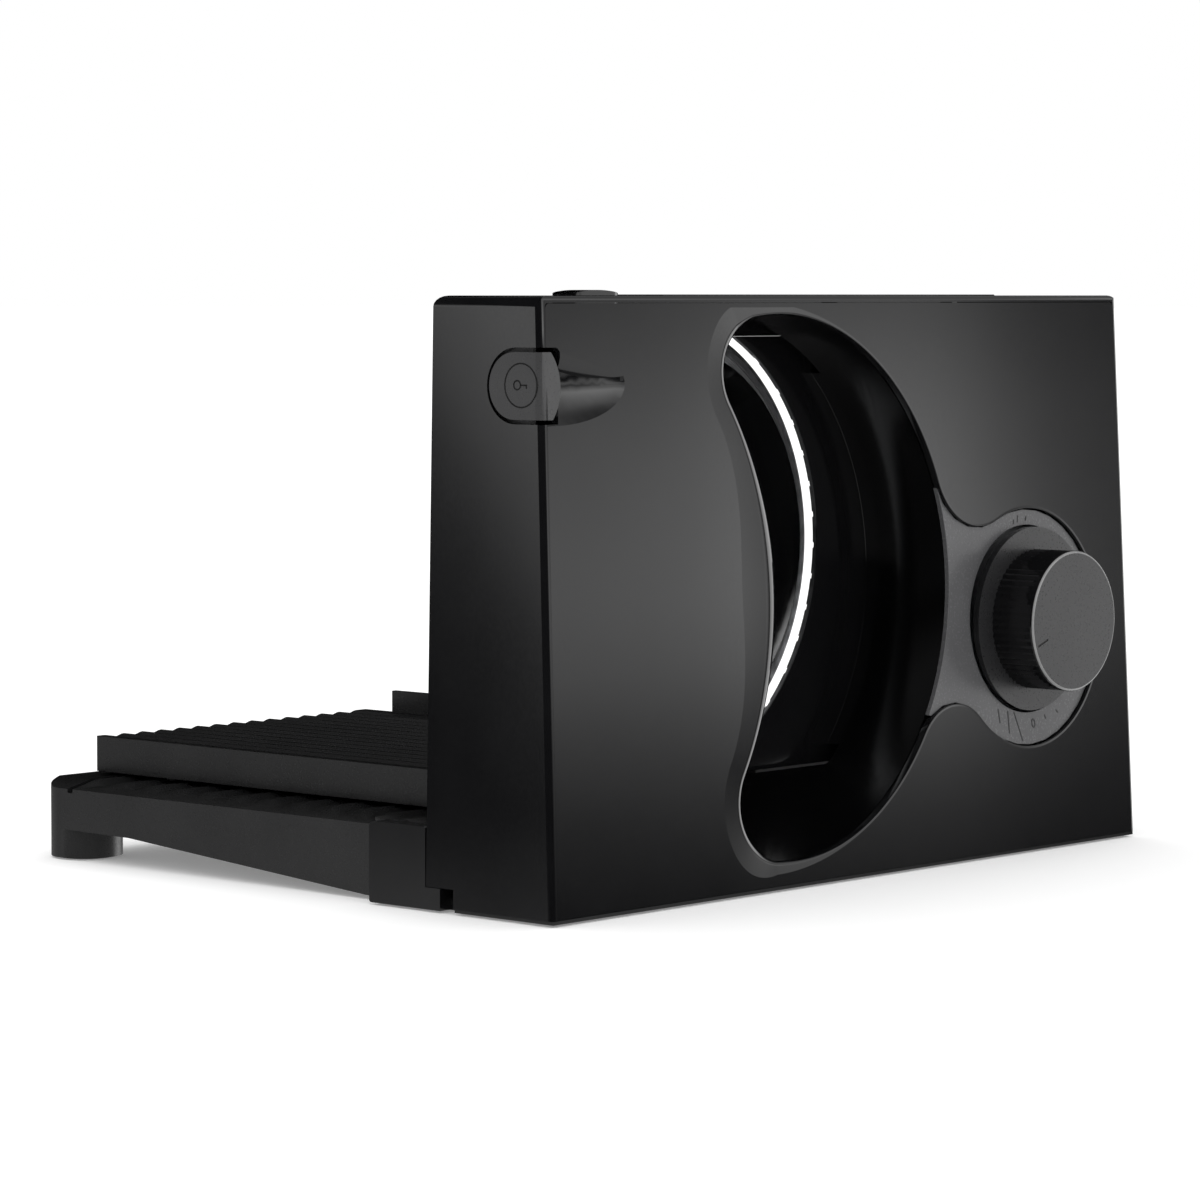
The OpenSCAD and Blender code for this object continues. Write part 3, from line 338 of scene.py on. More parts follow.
# Finishes: dark and pale shade, least and most roughness, then the grain's scale and height
MOULDED = {
    "gloss_black": ((0.0045, 0.0045, 0.005), (0.0065, 0.0065, 0.007), 0.05, 0.08, 900, 0.0002),
    "chute_black": ((0.0012, 0.0012, 0.0014), (0.0018, 0.0018, 0.002), 0.1, 0.16, 900, 0.0002),
    "rubber": ((0.012, 0.012, 0.012), (0.024, 0.024, 0.024), 0.55, 0.8, 2500, 0.03),
    "inner_plastic": ((0.05, 0.055, 0.06), (0.07, 0.075, 0.08), 0.4, 0.6, 1800, 0.02),
    "gear_plastic": ((0.74, 0.71, 0.62), (0.82, 0.79, 0.7), 0.35, 0.5, 1500, 0.01),
    "tray_black": ((0.010, 0.010, 0.0105), (0.014, 0.014, 0.0145), 0.26, 0.36, 1200, 0.0004),
    # The lock button is satin black made lighter: painted sheen for the reflection on its face
    "lock_satin_painted_sheen": ((0.042, 0.042, 0.043), (0.05, 0.05, 0.051), 0.26, 0.34, 900, 0.0002),
    # The dial plate is gloss black; its grey is a painted reflection
    "dial_painted_sheen": ((0.085, 0.085, 0.088), (0.1, 0.1, 0.103), 0.2, 0.3, 900, 0.0002),
    # The knob's skirt is gloss black; its grey is painted sheen
    "skirt_painted_sheen": ((0.03, 0.03, 0.031), (0.036, 0.036, 0.037), 0.08, 0.12, 900, 0.0002),
    "face_grey": ((0.02, 0.02, 0.021), (0.025, 0.025, 0.026), 0.26, 0.34, 900, 0.0002),
    # Painted highlight for the bright line round the edge of the knob's face
    "rim_painted_highlight": ((0.22, 0.22, 0.22), (0.28, 0.28, 0.28), 0.2, 0.3, 900, 0.0002),
    "mark_black": ((0.004, 0.004, 0.004), (0.006, 0.006, 0.006), 0.6, 0.7, 1500, 0.002),
}
BRUSHED = {
    "steel": ((0.5, 0.51, 0.53), (0.64, 0.65, 0.67), 0.28, 0.42),
    "motor_can": ((0.3, 0.31, 0.33), (0.4, 0.41, 0.43), 0.35, 0.5),
    "bush_brass": ((0.6, 0.47, 0.24), (0.74, 0.6, 0.35), 0.25, 0.4),
}
BLADE_C = Vector((118, 126))
BLADE_BACK, BLADE_T = 54, 1.2
blade_middle = at(BLADE_C.x, BLADE_BACK, BLADE_C.y)
MATERIALS = {name: moulded(name, *look) for name, look in MOULDED.items()}
MATERIALS.update({name: brushed(name, *look) for name, look in BRUSHED.items()})
MATERIALS["blade_steel"] = turned("blade_steel", (0.62, 0.63, 0.65), (0.78, 0.79, 0.81),
                                  0.22, 0.36, blade_middle, (1, 0, 1))
# The skirt's painted sheen material also reflects twice as strongly
skirt_bsdf = MATERIALS["skirt_painted_sheen"].node_tree.nodes["Principled BSDF"]
skirt_bsdf.inputs["Specular IOR Level"].default_value = 1.0

# Piece helpers, with angles in degrees
SHARP_ANGLE, BEVEL_ANGLE = 35, 40
WELD_DIST, WELD_ANGLE = 0.002, 0.3
FLAT_ANGLE = 0.2


def put(name, mesh, node, finish=None):
    """A piece that rides with a node's body and takes the material of the node's slot, or of the
    finish given.
    """
    piece = bpy.data.objects.new(name, mesh)
    bpy.context.scene.collection.objects.link(piece)
    mesh.materials.append(MATERIALS[finish or SLOT[node]])
    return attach(piece, BODY[node])


def soften(piece, width):
    """Small rounds along the sharp edges."""
    bevel = piece.modifiers.new("soft_edges", "BEVEL")
    bevel.width = width * MM
    bevel.segments = 2
    bevel.limit_method = "ANGLE"
    bevel.angle_limit = math.radians(BEVEL_ANGLE)


def even(piece):
    """Shading that keeps the flats flat beside soft edges and curves."""
    shade = piece.modifiers.new("even_shading", "WEIGHTED_NORMAL")
    shade.mode = "FACE_AREA"
    shade.weight = 100
    shade.keep_sharp = True


def welded(node):
    """The node's mesh as a bmesh with its facets joined."""
    bm = bmesh.new()
    bm.from_mesh(frame["nodes"][node].data)
    bmesh.ops.remove_doubles(bm, verts=bm.verts, dist=WELD_DIST * MM)
    bmesh.ops.dissolve_limit(bm, angle_limit=math.radians(WELD_ANGLE), verts=bm.verts,
                             edges=bm.edges)
    return bm


def plain_mesh(name, bm):
    """A mesh with only the shape of a bmesh."""
    mesh = bpy.data.meshes.new(name)
    bm.verts.index_update()
    faces = [[v.index for v in f.verts] for f in bm.faces]
    mesh.from_pydata([v.co[:] for v in bm.verts], [], faces)
    bm.free()
    mesh.shade_smooth()
    mesh.set_sharp_from_angle(angle=math.radians(SHARP_ANGLE))
    return mesh


def crease_flat(mesh, normal):
    """Hard edges round the faces that lie in a flat, so that it shades as one."""
    bm = bmesh.new()
    bm.from_mesh(mesh)
    for edge in bm.edges:
        flat = [face.normal.angle(normal) < math.radians(FLAT_ANGLE) for face in edge.link_faces]
        if any(flat) and not all(flat):
            edge.smooth = False
    bm.to_mesh(mesh)
    bm.free()
    return mesh


def skin(node, finish=None):
    """A copy of a node that stands for it."""
    name = node + "_skin"
    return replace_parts(put(name, plain_mesh(name, welded(node)), node, finish), node)


def ring_faces(count, size, closed):
    """Quads between rings of points, joined first to last where closed."""
    faces = []
    for j in range(count if closed else count - 1):
        a, b = j * size, (j + 1) % count * size
        faces += [[a + i, b + i, b + (i + 1) % size, a + (i + 1) % size] for i in range(size)]
    return faces


def closed_mesh(name, points, faces):
    """A mesh of points and faces, with its faces turned outwards."""
    bm = bmesh.new()
    verts = [bm.verts.new(p) for p in points]
    for face in faces:
        bm.faces.new([verts[i] for i in face])
    bmesh.ops.recalc_face_normals(bm, faces=bm.faces)
    return plain_mesh(name, bm)


def loft(name, rings):
    """Closed skin through rings of points."""
    points = [p for ring in rings for p in ring]
    return closed_mesh(name, points, ring_faces(len(rings), len(rings[0]), True))


# Copies of the moulded pieces with small rounds, some in a satin finish; the grey of the lock
# button and of the dial plate is painted sheen, lighter than their black plastic to stand in for
# the reflections their faces show
EDGE_ROUNDS = {"main_housing": 0.15, "base_plate": 0.3, "power_button": 0.4, "fence_plate": 0.2,
               "blade_lock": 0.3, "base_feet": 0.3, "tray_foot_pads": 0.3, "cord_gland": 0.2,
               "lock_button": 0.35, "tray": 0.4, "carriage": 0.4, "dial_plate": 0.15}
SATIN_AND_PAINTED_SHEEN = {"lock_button": "lock_satin_painted_sheen", "tray": "tray_black", "carriage": "tray_black",
         "dial_plate": "dial_painted_sheen"}
for node, width in EDGE_ROUNDS.items():
    dressed = skin(node, SATIN_AND_PAINTED_SHEEN.get(node))
    soften(dressed, width)
    even(dressed)

# Springs: copies that stand for the springs, each with a mesh of its own
LOCK_STROKE, POWER_STROKE = 3.5, 3
for node, joint, axis, end, stroke in (
        ("lock_spring", "lock_press", Vector((1, 0, 0)), 1, LOCK_STROKE),
        ("power_spring", "power_press", Vector((0, 0, 1)), 0, POWER_STROKE)):
    spring = skin(node)
    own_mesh(spring)

# The fence closes the slit under the top of its window but for a hair
FENCE_TOP, FENCE_MORE = 204, 0.33
for vert in bpy.data.objects["fence_plate_skin"].data.vertices:
    if vert.co.z > FENCE_TOP * MM:
        vert.co.z += FENCE_MORE * MM

# Knob: a round along the edge of the face in a pale grey that is a painted highlight, a satin face,
# and a glossy skirt whose grey is painted sheen
GRIP_R = 27.5
FACE_ROUND = 0.6
FACE_TOL, RIM_SEEK = 0.01, 0.5
HIGHLIGHT_BAND, SKIRT_STEP = 1.5, 1
FORWARD = -0.99
FACE, SKIRT, RIM_HIGHLIGHT = 1, 2, 3
knob_middle = at(KNOB_C.x, -KNOB_REACH, KNOB_C.y)


def knob_radius(point):
    """Distance from the knob's axis."""
    return math.hypot(point.x - knob_middle.x, point.z - knob_middle.z) / MM


def knob_depth(point):
    """Distance behind the front of the knob."""
    return (point.y - knob_middle.y) / MM


def on_rim(vert):
    return knob_depth(vert.co) < FACE_TOL and knob_radius(vert.co) > GRIP_R - RIM_SEEK


def knob_mesh():
    bm = welded("thickness_knob")
    rim = [e for e in bm.edges if all(on_rim(v) for v in e.verts)]
    bmesh.ops.bevel(bm, geom=rim, offset=FACE_ROUND * MM, offset_type="OFFSET", segments=3,
                    profile=0.5, affect="EDGES", clamp_overlap=True)
    return plain_mesh("thickness_knob_skin", bm)


knob = put("thickness_knob_skin", knob_mesh(), "thickness_knob")
for finish in ("face_grey", "skirt_painted_sheen", "rim_painted_highlight"):
    knob.data.materials.append(MATERIALS[finish])
# Forward faces take the satin face or the skirt's painted sheen; the round at the face's edge takes
# the painted highlight
for face in knob.data.polygons:
    radius = knob_radius(face.center)
    if face.normal.y < FORWARD:
        face.material_index = SKIRT if radius > GRIP_R + SKIRT_STEP else FACE
    elif knob_depth(face.center) < FACE_ROUND and radius > GRIP_R - HIGHLIGHT_BAND:
        face.material_index = RIM_HIGHLIGHT
even(knob)
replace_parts(knob, "thickness_knob")

# Front cover: the left end keeps the drawn scoop, the rest has a fine rolled lip
COVER_SPLIT = 70
FOOT_GAP = 0.3
COVER_FOOT = BASE_LIP + FOOT_GAP
COVER_RIGHT = HOUSING_W - WALL - COVER_GAP
CORNER_R = 2
CORNER_N = 8
LIP_STEPS, LIP_CROWD = 20, 0.8


def cover_outline():
    """Outline of the plain part of the cover, up the split, along the top and down the right."""
    slope = END_DRAFT / COVER_TOP
    corner = Vector((COVER_RIGHT - END_DRAFT - CORNER_R, COVER_TOP - CORNER_R))
    rounded = [corner + CORNER_R * ray(90 - (90 - math.degrees(slope)) * i / CORNER_N)
               for i in range(CORNER_N + 1)]
    return ([Vector((COVER_SPLIT, COVER_FOOT)), Vector((COVER_SPLIT, COVER_TOP))]
            + rounded + [Vector((COVER_RIGHT, COVER_FOOT))])


def lip_ring(bm, share, depth):
    """Points round the opening at a share of the lip's width, at a depth behind its face."""
    ring = []
    for point, normal in cover_side:
        inset = lip_inset(point, normal)
        width = lip_width(point, normal) + inset
        p = point + normal * (width * share - inset)
        fall = lip_fall(share, width, lip_depth(point, normal))
        ring.append(bm.verts.new(on_front(p.x, p.y, depth + fall)))
    return ring


def loop_edges(bm, ring):
    """Edges round a ring, made where they are missing."""
    pairs = zip(ring, ring[1:] + ring[:1])
    return [bm.edges.get((a, b)) or bm.edges.new((a, b)) for a, b in pairs]


def bridge(bm, one, two, smooth):
    """Quads between two rings."""
    for i in range(len(one)):
        k = (i + 1) % len(one)
        bm.faces.new([one[i], two[i], two[k], one[k]]).smooth = smooth


def cover_right():
    """The cover from the split to its right end, with the lip round the opening."""
    bm = bmesh.new()
    shares = [1 - (i / LIP_STEPS) ** LIP_CROWD for i in range(LIP_STEPS + 1)]
    front = [lip_ring(bm, s, 0) for s in shares]
    back = [lip_ring(bm, s, WALL) for s in reversed(shares[::2])]
    rings = front + back
    for one, two in zip(rings, rings[1:]):
        bridge(bm, one, two, True)
    outlines = []
    for ring, depth in ((front[0], 0), (back[-1], WALL)):
        outline = [bm.verts.new(on_front(p.x, p.y, depth)) for p in cover_outline()]
        edges = loop_edges(bm, ring) + loop_edges(bm, outline)
        filled = bmesh.ops.triangle_fill(bm, use_beauty=True, edges=edges)
        for item in filled["geom"]:
            if isinstance(item, bmesh.types.BMFace):
                item.smooth = False
        outlines.append(outline)
    bridge(bm, *outlines, False)
    bmesh.ops.recalc_face_normals(bm, faces=bm.faces)
    mesh = bpy.data.meshes.new("front_cover_skin")
    bm.to_mesh(mesh)
    bm.free()
    mesh.set_sharp_from_angle(angle=math.radians(SHARP_ANGLE))
    return crease_flat(mesh, FRONT_NORMAL)


def cover_left():
    """The end of the drawn cover with the scoop, cut off at the split."""
    bm = welded("front_cover")
    cut = bmesh.ops.bisect_plane(bm, geom=[*bm.verts, *bm.edges, *bm.faces], clear_outer=True,
                                 plane_co=at(COVER_SPLIT, 0, 0), plane_no=(1, 0, 0))
    rim = [e for e in cut["geom_cut"] if isinstance(e, bmesh.types.BMEdge)]
    bmesh.ops.holes_fill(bm, edges=rim)
    return crease_flat(plain_mesh("front_cover_end", bm), FRONT_NORMAL)


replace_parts(put("front_cover_skin", cover_right(), "front_cover"), "front_cover")
even(put("front_cover_end", cover_left(), "front_cover"))

# Slice chute: a fine skin from under the lip to the mouth beside the blade
MOUTH_R, MOUTH_IN = OUTLET_R - 1.5, OUTLET_R - 27.2
MOUTH_LOBE_R, MOUTH_LOW_R, MOUTH_END_R = 8, 10, 14
MOUTH_FLOOR = 38
CHUTE_WALL, CHUTE_GAP = 2, 0.1
CHUTE_RIGHT_Y, CHUTE_LEFT_Y = 39, 48
DIAL_DROP, DIAL_T = 1.5, 2
MOUTH_FADE, MOUTH_TOL = 9, 0.1
CHUTE_STEPS = 10
MOUTH_TOP_C = meet(OUTLET_C, MOUTH_R - MOUTH_LOBE_R, BLADE_C, MOUTH_IN + MOUTH_LOBE_R, -1)
MOUTH_LOW_C = beside(BLADE_C, MOUTH_IN + MOUTH_LOW_R, MOUTH_FLOOR + MOUTH_LOW_R)
MOUTH_END_C = beside(OUTLET_C, MOUTH_R - MOUTH_END_R, MOUTH_FLOOR + MOUTH_END_R)
MOUTH_TOP_A = aim(BLADE_C, MOUTH_TOP_C)
MOUTH_LOW_A = aim(BLADE_C, MOUTH_LOW_C)
MOUTH_END_A = aim(OUTLET_C, MOUTH_END_C)
outlet_side = (arc(OUTLET_C, OUTLET_R, TOP_LOBE_A, MOUTH_END_A, 24 * FINE)
               + arc(OUTLET_C, OUTLET_R, MOUTH_END_A, LOW_LOBE_A, 8 * FINE) + left_side)
floor_from = MOUTH_END_C - Vector((0, MOUTH_END_R))
floor_to = MOUTH_LOW_C - Vector((0, MOUTH_LOW_R))
FLOOR_N = 8 * FINE
mouth_side = (
    arc(OUTLET_C, MOUTH_R, aim(OUTLET_C, MOUTH_TOP_C), MOUTH_END_A, 24 * FINE)
    + arc(MOUTH_END_C, MOUTH_END_R, MOUTH_END_A, -90, 6 * FINE)
    + [(floor_from.lerp(floor_to, i / FLOOR_N), Vector((0, -1))) for i in range(FLOOR_N)]
    + arc(MOUTH_LOW_C, MOUTH_LOW_R, 270, MOUTH_LOW_A + 180, 6 * FINE)
    + arc(BLADE_C, MOUTH_IN, MOUTH_LOW_A, MOUTH_TOP_A, 16 * FINE, -1)
    + arc(MOUTH_TOP_C, MOUTH_LOBE_R, MOUTH_TOP_A + 180, aim(OUTLET_C, MOUTH_TOP_C), 12 * FINE))


def mouth_y(point):
    """Depth of the mouth: close to the blade on the left, clear of the fence on the right."""
    r = (point - BLADE_C).length
    if r < MOUTH_IN + MOUTH_TOL:
        return CHUTE_LEFT_Y
    if point.x < MOUTH_TOP_C.x and r < MOUTH_IN + MOUTH_FADE:
        return CHUTE_LEFT_Y + (CHUTE_RIGHT_Y - CHUTE_LEFT_Y) * (r - MOUTH_IN) / MOUTH_FADE
    return CHUTE_RIGHT_Y


def chute_rings(grow):
    """Rings from the lip to the mouth, grown outwards from the opening."""
    front, rear = [], []
    for (p, n), (q, m) in zip(outlet_side, mouth_side):
        start = max(lip_bottom(p, n) + WALL, DIAL_DROP + DIAL_T) + CHUTE_GAP
        front.append(on_front(*(p + n * grow), start))
        out = q + m * grow
        rear.append(at(out.x, mouth_y(q), out.y))
    return [[a.lerp(b, k / CHUTE_STEPS) for a, b in zip(front, rear)]
            for k in range(CHUTE_STEPS + 1)]


chute_mesh = loft("exit_chute_skin", chute_rings(0) + chute_rings(CHUTE_WALL)[::-1])
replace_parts(put("exit_chute_skin", chute_mesh, "exit_chute"), "exit_chute")

# Blade: hollow ground bevel with waves round its edge, from rings of depth, radius and wave
BLADE_R, BEVEL_W = 85, 4.8
WAVES, PER_WAVE, WAVE_H = 72, 16, 0.7
BLADE_HOLE = 10.02
GRIND_START, GRIND_MID, EDGE_T = 0.02, 0.45, 0.1
BLADE_FRONT = BLADE_BACK - BLADE_T
FLAT_R = BLADE_R - 2.5 * BEVEL_W
BLADE_RINGS = (
    (BLADE_FRONT, BLADE_HOLE, 0), (BLADE_FRONT, 0.5 * FLAT_R, 0),
    (BLADE_FRONT, FLAT_R - 1, 0), (BLADE_FRONT, FLAT_R, 0),
    (BLADE_FRONT + GRIND_START, BLADE_R - BEVEL_W, WAVE_H),
    (BLADE_FRONT + GRIND_MID, BLADE_R - 0.5 * BEVEL_W, 0.5 * WAVE_H),
    (BLADE_BACK - EDGE_T, BLADE_R, 0), (BLADE_BACK, BLADE_R, 0),
    (BLADE_BACK, FLAT_R, 0), (BLADE_BACK, BLADE_HOLE, 0))


def blade_ring(y, r, wave):
    ring = []
    for i in range(WAVES * PER_WAVE):
        a = 360 * i / (WAVES * PER_WAVE)
        p = BLADE_C + (r + wave * math.cos(math.radians(WAVES * a))) * ray(a)
        ring.append(at(p.x, y, p.y))
    return ring


blade_mesh = loft("blade_skin", [blade_ring(*row) for row in BLADE_RINGS])
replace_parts(put("blade_skin", blade_mesh, "blade"), "blade")

# Marks: thin raised strips on the dial, the knob and the lock button
MARK_UP, MARK_DOWN = 0.08, 0.1


def strip(path, width, place, closed=False):
    """Points and faces of a strip along a path."""
    rings = []
    for i, p in enumerate(path):
        before = path[i - 1] if closed or i else p
        after = path[(i + 1) % len(path)] if closed or i + 1 < len(path) else p
        along = (after - before).normalized()
        side = Vector((-along.y, along.x)) * width / 2
        rings += [place(p + side, MARK_UP), place(p - side, MARK_UP),
                  place(p - side, -MARK_DOWN), place(p + side, -MARK_DOWN)]
    faces = ring_faces(len(path), 4, closed)
    if not closed:
        last = len(rings) - 4
        faces += [[3, 2, 1, 0], [last, last + 1, last + 2, last + 3]]
    return rings, faces


def marks(name, strips, node):
    """One piece of several strips."""
    points, faces = [], []
    for ring, quads in strips:
        faces += [[len(points) + i for i in quad] for quad in quads]
        points += ring
    return put(name, closed_mesh(name, points, faces), node, "mark_black")


def spoke(r1, a1, r2, a2):
    """Line between two points about the knob's axis."""
    return [KNOB_C + r1 * ray(a1), KNOB_C + r2 * ray(a2)]


def oval(c, across, tall, tilt, n=28):
    """Points round an oval that stands along a tilt."""
    return [c + 0.5 * across * math.cos(math.tau * i / n) * ray(tilt - 90)
            + 0.5 * tall * math.sin(math.tau * i / n) * ray(tilt) for i in range(n)]


# Dial: a small oval, and lines from one radius and angle to another
MARK_W = 0.55
DIAL_OVAL = oval(KNOB_C + 41.7 * ray(-87), 1.9, 3.4, 106)
DIAL_LINES = ((40, -76, 41.8, -75.4), (41.2, -65, 43, -64), (40.2, -121, 44.6, -116),
              (38.5, -112, 46.7, -107), (37.8, -106, 48.4, -96), (38.4, 101, 40, 100),
              (38.6, 97, 41.2, 96), (38.8, 89, 40.6, 88))


def on_dial(p, up):
    return on_front(p.x, p.y, DIAL_DROP - up)


dial_strips = [strip(DIAL_OVAL, MARK_W, on_dial, True)]
dial_strips += [strip(spoke(*line), MARK_W, on_dial) for line in DIAL_LINES]
marks("dial_marks", dial_strips, "dial_plate")

# Knob: a pointer line on its face
POINTER_DEPTH, POINTER_W = 0.3, 0.7
POINTER_FROM, POINTER_TO, POINTER_A = 18.7, 25.3, 200


def on_knob(p, up):
    return at(p.x, POINTER_DEPTH - KNOB_REACH - up, p.y)


pointer = spoke(POINTER_FROM, POINTER_A, POINTER_TO, POINTER_A)
marks("knob_mark", [strip(pointer, POINTER_W, on_knob)], "thickness_knob")

# Lock button: a ring with a key, drawn in (y, z) on its end face
LOCK_FACE_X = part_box("lock_button")[0].x
SIGN_W = 0.5
LOCK_RING_C = Vector((17, 188.6))
LOCK_RING_D, LOCK_RING_N = 15.4, 64
KEY_BOW_C = LOCK_RING_C + Vector((1.8, 0.1))
KEY_BOW_D = 3.2
KEY_NECK, KEY_TIP = -1.6, -4.7
TOOTH_BACK, TOOTH_H = 0.3, 1.2


def on_lock(p, up):
    place = at(0, p.x, p.y)
    place.x = LOCK_FACE_X - up * MM
    return place


key_shaft = [KEY_BOW_C + Vector((x, 0)) for x in (KEY_NECK, KEY_TIP)]
key_tooth = [key_shaft[1] + Vector((TOOTH_BACK, y)) for y in (0, -TOOTH_H)]
marks("lock_marks", [
    strip(oval(LOCK_RING_C, LOCK_RING_D, LOCK_RING_D, 90, LOCK_RING_N), SIGN_W, on_lock, True),
    strip(oval(KEY_BOW_C, KEY_BOW_D, KEY_BOW_D, 90), SIGN_W, on_lock, True),
    strip(key_shaft, SIGN_W, on_lock),
    strip(key_tooth, SIGN_W, on_lock)], "lock_button")

# The CAD nodes that stay take the materials of their slots
for node, piece in frame["nodes"].items():
    piece.data.materials.clear()
    piece.data.materials.append(MATERIALS[SLOT[node]])

# Studio: lengths from here on are in metres
FLOOR_HALF, FLOOR_DROP = 60, 0.0002
FLOOR_GLOW = 0.2
CORNERS = ((-1, -1), (1, -1), (1, 1), (-1, 1))


def stage_piece(name, mesh, material):
    piece = bpy.data.objects.new(name, mesh)
    bpy.context.scene.collection.objects.link(piece)
    mesh.materials.append(material)
    return piece


# White floor that glows a little for the rays that see it, and keeps the shadow
floor_mesh = bpy.data.meshes.new("floor")
floor_mesh.from_pydata([(x * FLOOR_HALF, y * FLOOR_HALF, -FLOOR_DROP) for x, y in CORNERS],
                       [], [[0, 1, 2, 3]])
floor_mat, floor_tree, floor_bsdf = new_material("floor_white", (0.95, 0.95, 0.95), 0.9)
floor_bsdf.inputs["Specular IOR Level"].default_value = 0.0
light_path = floor_tree.nodes.new("ShaderNodeLightPath")
seen = light_path.outputs["Is Camera Ray"]
for ray_kind in ("Is Glossy Ray", "Is Transmission Ray"):
    seen = math_node(floor_tree, "MAXIMUM", light_path.outputs[ray_kind], seen)
floor_bsdf.inputs["Emission Color"].default_value = (1, 1, 1, 1)
floor_tree.links.new(math_node(floor_tree, "MULTIPLY", seen, FLOOR_GLOW),
                     floor_bsdf.inputs["Emission Strength"])
floor = stage_piece("floor", floor_mesh, floor_mat)
floor.visible_glossy = False

world = bpy.data.worlds.new("studio")
bpy.context.scene.world = world
world.use_nodes = True
world.node_tree.nodes["Background"].inputs["Color"].default_value = (1, 1, 1, 1)

# Tent of dark cloth with lit panels, which only the gloss shows
TENT_R = 400
tent_bm = bmesh.new()
bmesh.ops.create_uvsphere(tent_bm, u_segments=64, v_segments=32, radius=TENT_R)
tent_mesh = bpy.data.meshes.new("tent")
tent_bm.to_mesh(tent_mesh)
tent_bm.free()
tent_mat = bpy.data.materials.new("tent_panels")
tent_mat.use_nodes = True
tent_mat.cycles.emission_sampling = "NONE"
tent_tree = tent_mat.node_tree
tent_tree.nodes.clear()
tent_coords = tent_tree.nodes.new("ShaderNodeTexCoord")


def times(a, b):
    return math_node(tent_tree, "MULTIPLY", a, b)


def toward(vector):
    """How far a point of the tent lies along a vector, in tent radii."""
    return vector_node(tent_tree, "DOT_PRODUCT", tent_coords.outputs["Object"],
                       Vector(vector) / TENT_R)["Value"]


def ramp_node(source, stops):
    """Grey by stops over the source."""
    low, high = stops[0][0], stops[-1][0]
    span = add(tent_tree, "ShaderNodeMapRange", From_Min=low, From_Max=high, To_Min=0.0, To_Max=1.0)
    tent_tree.links.new(source, span.inputs["Value"])
    ramp = tent_tree.nodes.new("ShaderNodeValToRGB")
    elements = ramp.color_ramp.elements
    for element, (place, grey) in zip(elements, (stops[0], stops[-1])):
        element.position = (place - low) / (high - low)
        element.color = (grey, grey, grey, 1)
    for place, grey in stops[1:-1]:
        elements.new((place - low) / (high - low)).color = (grey, grey, grey, 1)
    tent_tree.links.new(span.outputs["Result"], ramp.inputs["Fac"])
    return ramp.outputs["Color"]


def panel(azimuth, spread_power, strength, stops, slant=0.0):
    """A lit panel at an azimuth, with its grey by height, which may slant."""
    side = math_node(tent_tree, "MAXIMUM", toward((*ray(azimuth), 0)), 0)
    weight = math_node(tent_tree, "POWER", side, spread_power)
    level = toward((*(slant * ray(azimuth + 90)), 1))
    return times(times(weight, strength), ramp_node(level, stops))


def window(azimuth, strength, across, stops):
    """A lit band about an azimuth, with its grey by the sine of the turn from it and by height."""
    facing = math_node(tent_tree, "GREATER_THAN", toward((*ray(azimuth), 0)), 0)
    turn = ramp_node(toward((*ray(azimuth + 90), 0)), across)
    return times(times(times(facing, strength), turn), ramp_node(height, stops))


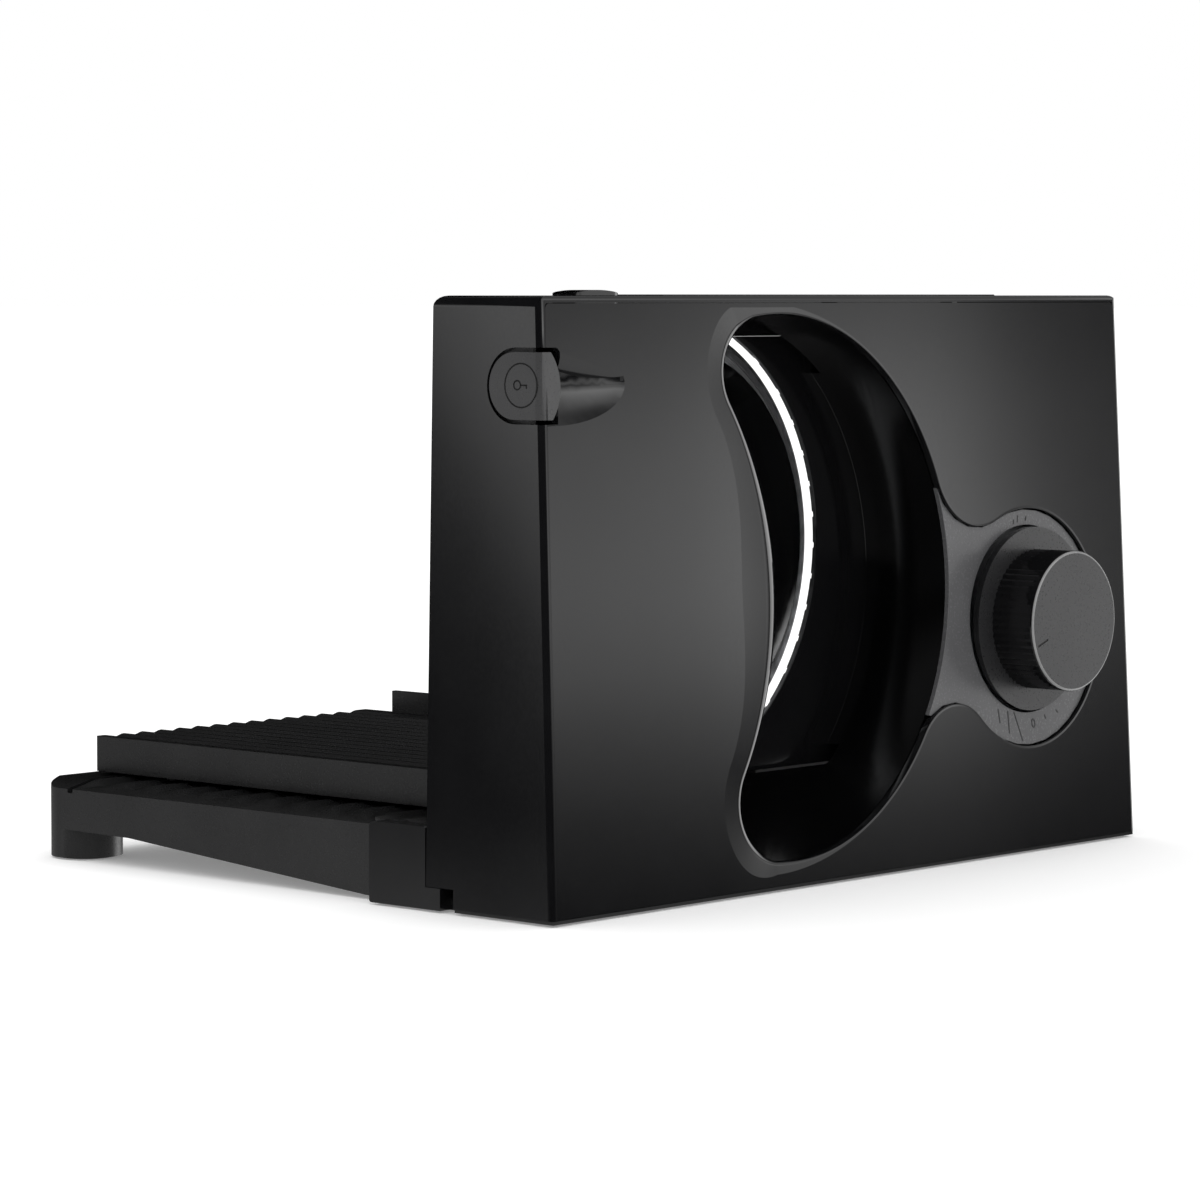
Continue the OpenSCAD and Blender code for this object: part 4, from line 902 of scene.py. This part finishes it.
height = toward((0, 0, 1))
lit = [
    # Window light that the front shows
    window(-39, 2.0,
           [(-0.8, 0.0), (-0.6, 0.25), (-0.4, 0.5), (-0.06, 0.66), (-0.041, 0.72), (-0.032, 0.79),
            (-0.028, 0.92), (-0.018, 1.0), (0.018, 1.0), (0.028, 0.81), (0.0325, 0.62),
            (0.037, 0.5), (0.0415, 0.39), (0.046, 0.31), (0.0505, 0.26), (0.055, 0.23),
            (0.065, 0.2), (0.085, 0.0)],
           [(-0.1, 0.0), (-0.0845, 0.05), (-0.0776, 0.09), (-0.0684, 0.145), (-0.057, 0.28),
            (-0.043, 0.52), (-0.03, 0.84), (-0.016, 1.0), (-0.002, 1.0), (0.012, 0.92),
            (0.023, 0.84), (0.048, 0.52), (0.08, 0.2), (0.12, 0.0)]),
    # Pale wall on the right that the lip shows
    window(-39, 3.0,
           [(0.1, 0.0), (0.13, 0.6), (0.18, 0.9), (0.45, 1.0), (0.6, 0.7), (0.75, 0.0)],
           [(-0.28, 0.2), (-0.2, 0.6), (-0.12, 0.85), (0.04, 1.0), (0.14, 0.8), (0.25, 0.0)]),
    # Large soft light above the front, and a weaker one above the right
    panel(-68, 4.8, 3.6,
          [(0.06, 0.0), (0.12, 0.4), (0.25, 1.0), (0.6, 1.0), (0.85, 0.6), (1.0, 0.3)]),
    panel(0, 3, 1.0, [(0.4, 0.0), (0.6, 1.0), (1.0, 1.0)]),
    # Slanted window light that the left end shows
    panel(136.5, 12, 1.45,
          [(-0.1, 0.0), (-0.077, 0.035), (-0.064, 0.06), (-0.05, 0.1), (-0.036, 0.18),
           (-0.022, 0.375), (-0.011, 0.63), (0.01, 0.8), (0.014, 0.98), (0.03, 1.0),
           (0.05, 1.0), (0.09, 0.5), (0.13, 0.0)], slant=1.67),
    # Narrow light that the round corners show
    panel(-76, 60, 1.6, [(-0.03, 0.0), (0.0, 0.7), (0.03, 1.0), (0.1, 0.8), (0.16, 0.0)]),
    # White table
    ramp_node(height, [(-1.0, 0.35), (-0.5, 0.55), (-0.2, 0.75), (-0.145, 0.55), (-0.12, 0.2),
                       (-0.1, 0.0)]),
]
light = lit[0]
for more in lit[1:]:
    light = math_node(tent_tree, "ADD", light, more)
glow = add(tent_tree, "ShaderNodeEmission", Strength=1.0)
output = tent_tree.nodes.new("ShaderNodeOutputMaterial")
tent_tree.links.new(light, glow.inputs["Color"])
tent_tree.links.new(glow.outputs["Emission"], output.inputs["Surface"])
tent = stage_piece("tent", tent_mesh, tent_mat)
tent.visible_camera = False
tent.visible_diffuse = False
tent.visible_shadow = False
tent.visible_transmission = False

# One broad soft lamp from above
sun_data = bpy.data.lights.new("soft_sky", "SUN")
sun_data.energy = 0.35
sun_data.angle = math.radians(100)
sun = bpy.data.objects.new("soft_sky", sun_data)
sun.rotation_euler = (math.radians(12), math.radians(-8), 0)
sun.visible_glossy = False
bpy.context.scene.collection.objects.link(sun)

# Camera of the photograph, from the straight edges of the housing
PHOTO = 1200
FOCAL_PX = 4363
HORIZON_PX = 295.2
PITCH = 2.5
HEADING = -47.94
CAMERA_AT = at(-1110.1, -1023.6, 220.1)
camera_data = bpy.data.cameras.new("camera")
camera_data.sensor_width = 36
camera_data.lens = FOCAL_PX / PHOTO * camera_data.sensor_width
camera_data.clip_end = 200
rise = FOCAL_PX * math.tan(math.radians(PITCH))
camera_data.shift_y = -(PHOTO / 2 - HORIZON_PX - rise) / PHOTO
camera = bpy.data.objects.new("camera", camera_data)
camera.location = CAMERA_AT
camera.rotation_euler = (math.radians(90 - PITCH), 0, math.radians(HEADING))
bpy.context.scene.collection.objects.link(camera)
bpy.context.scene.camera = camera
bpy.context.scene.view_settings.view_transform = "Standard"
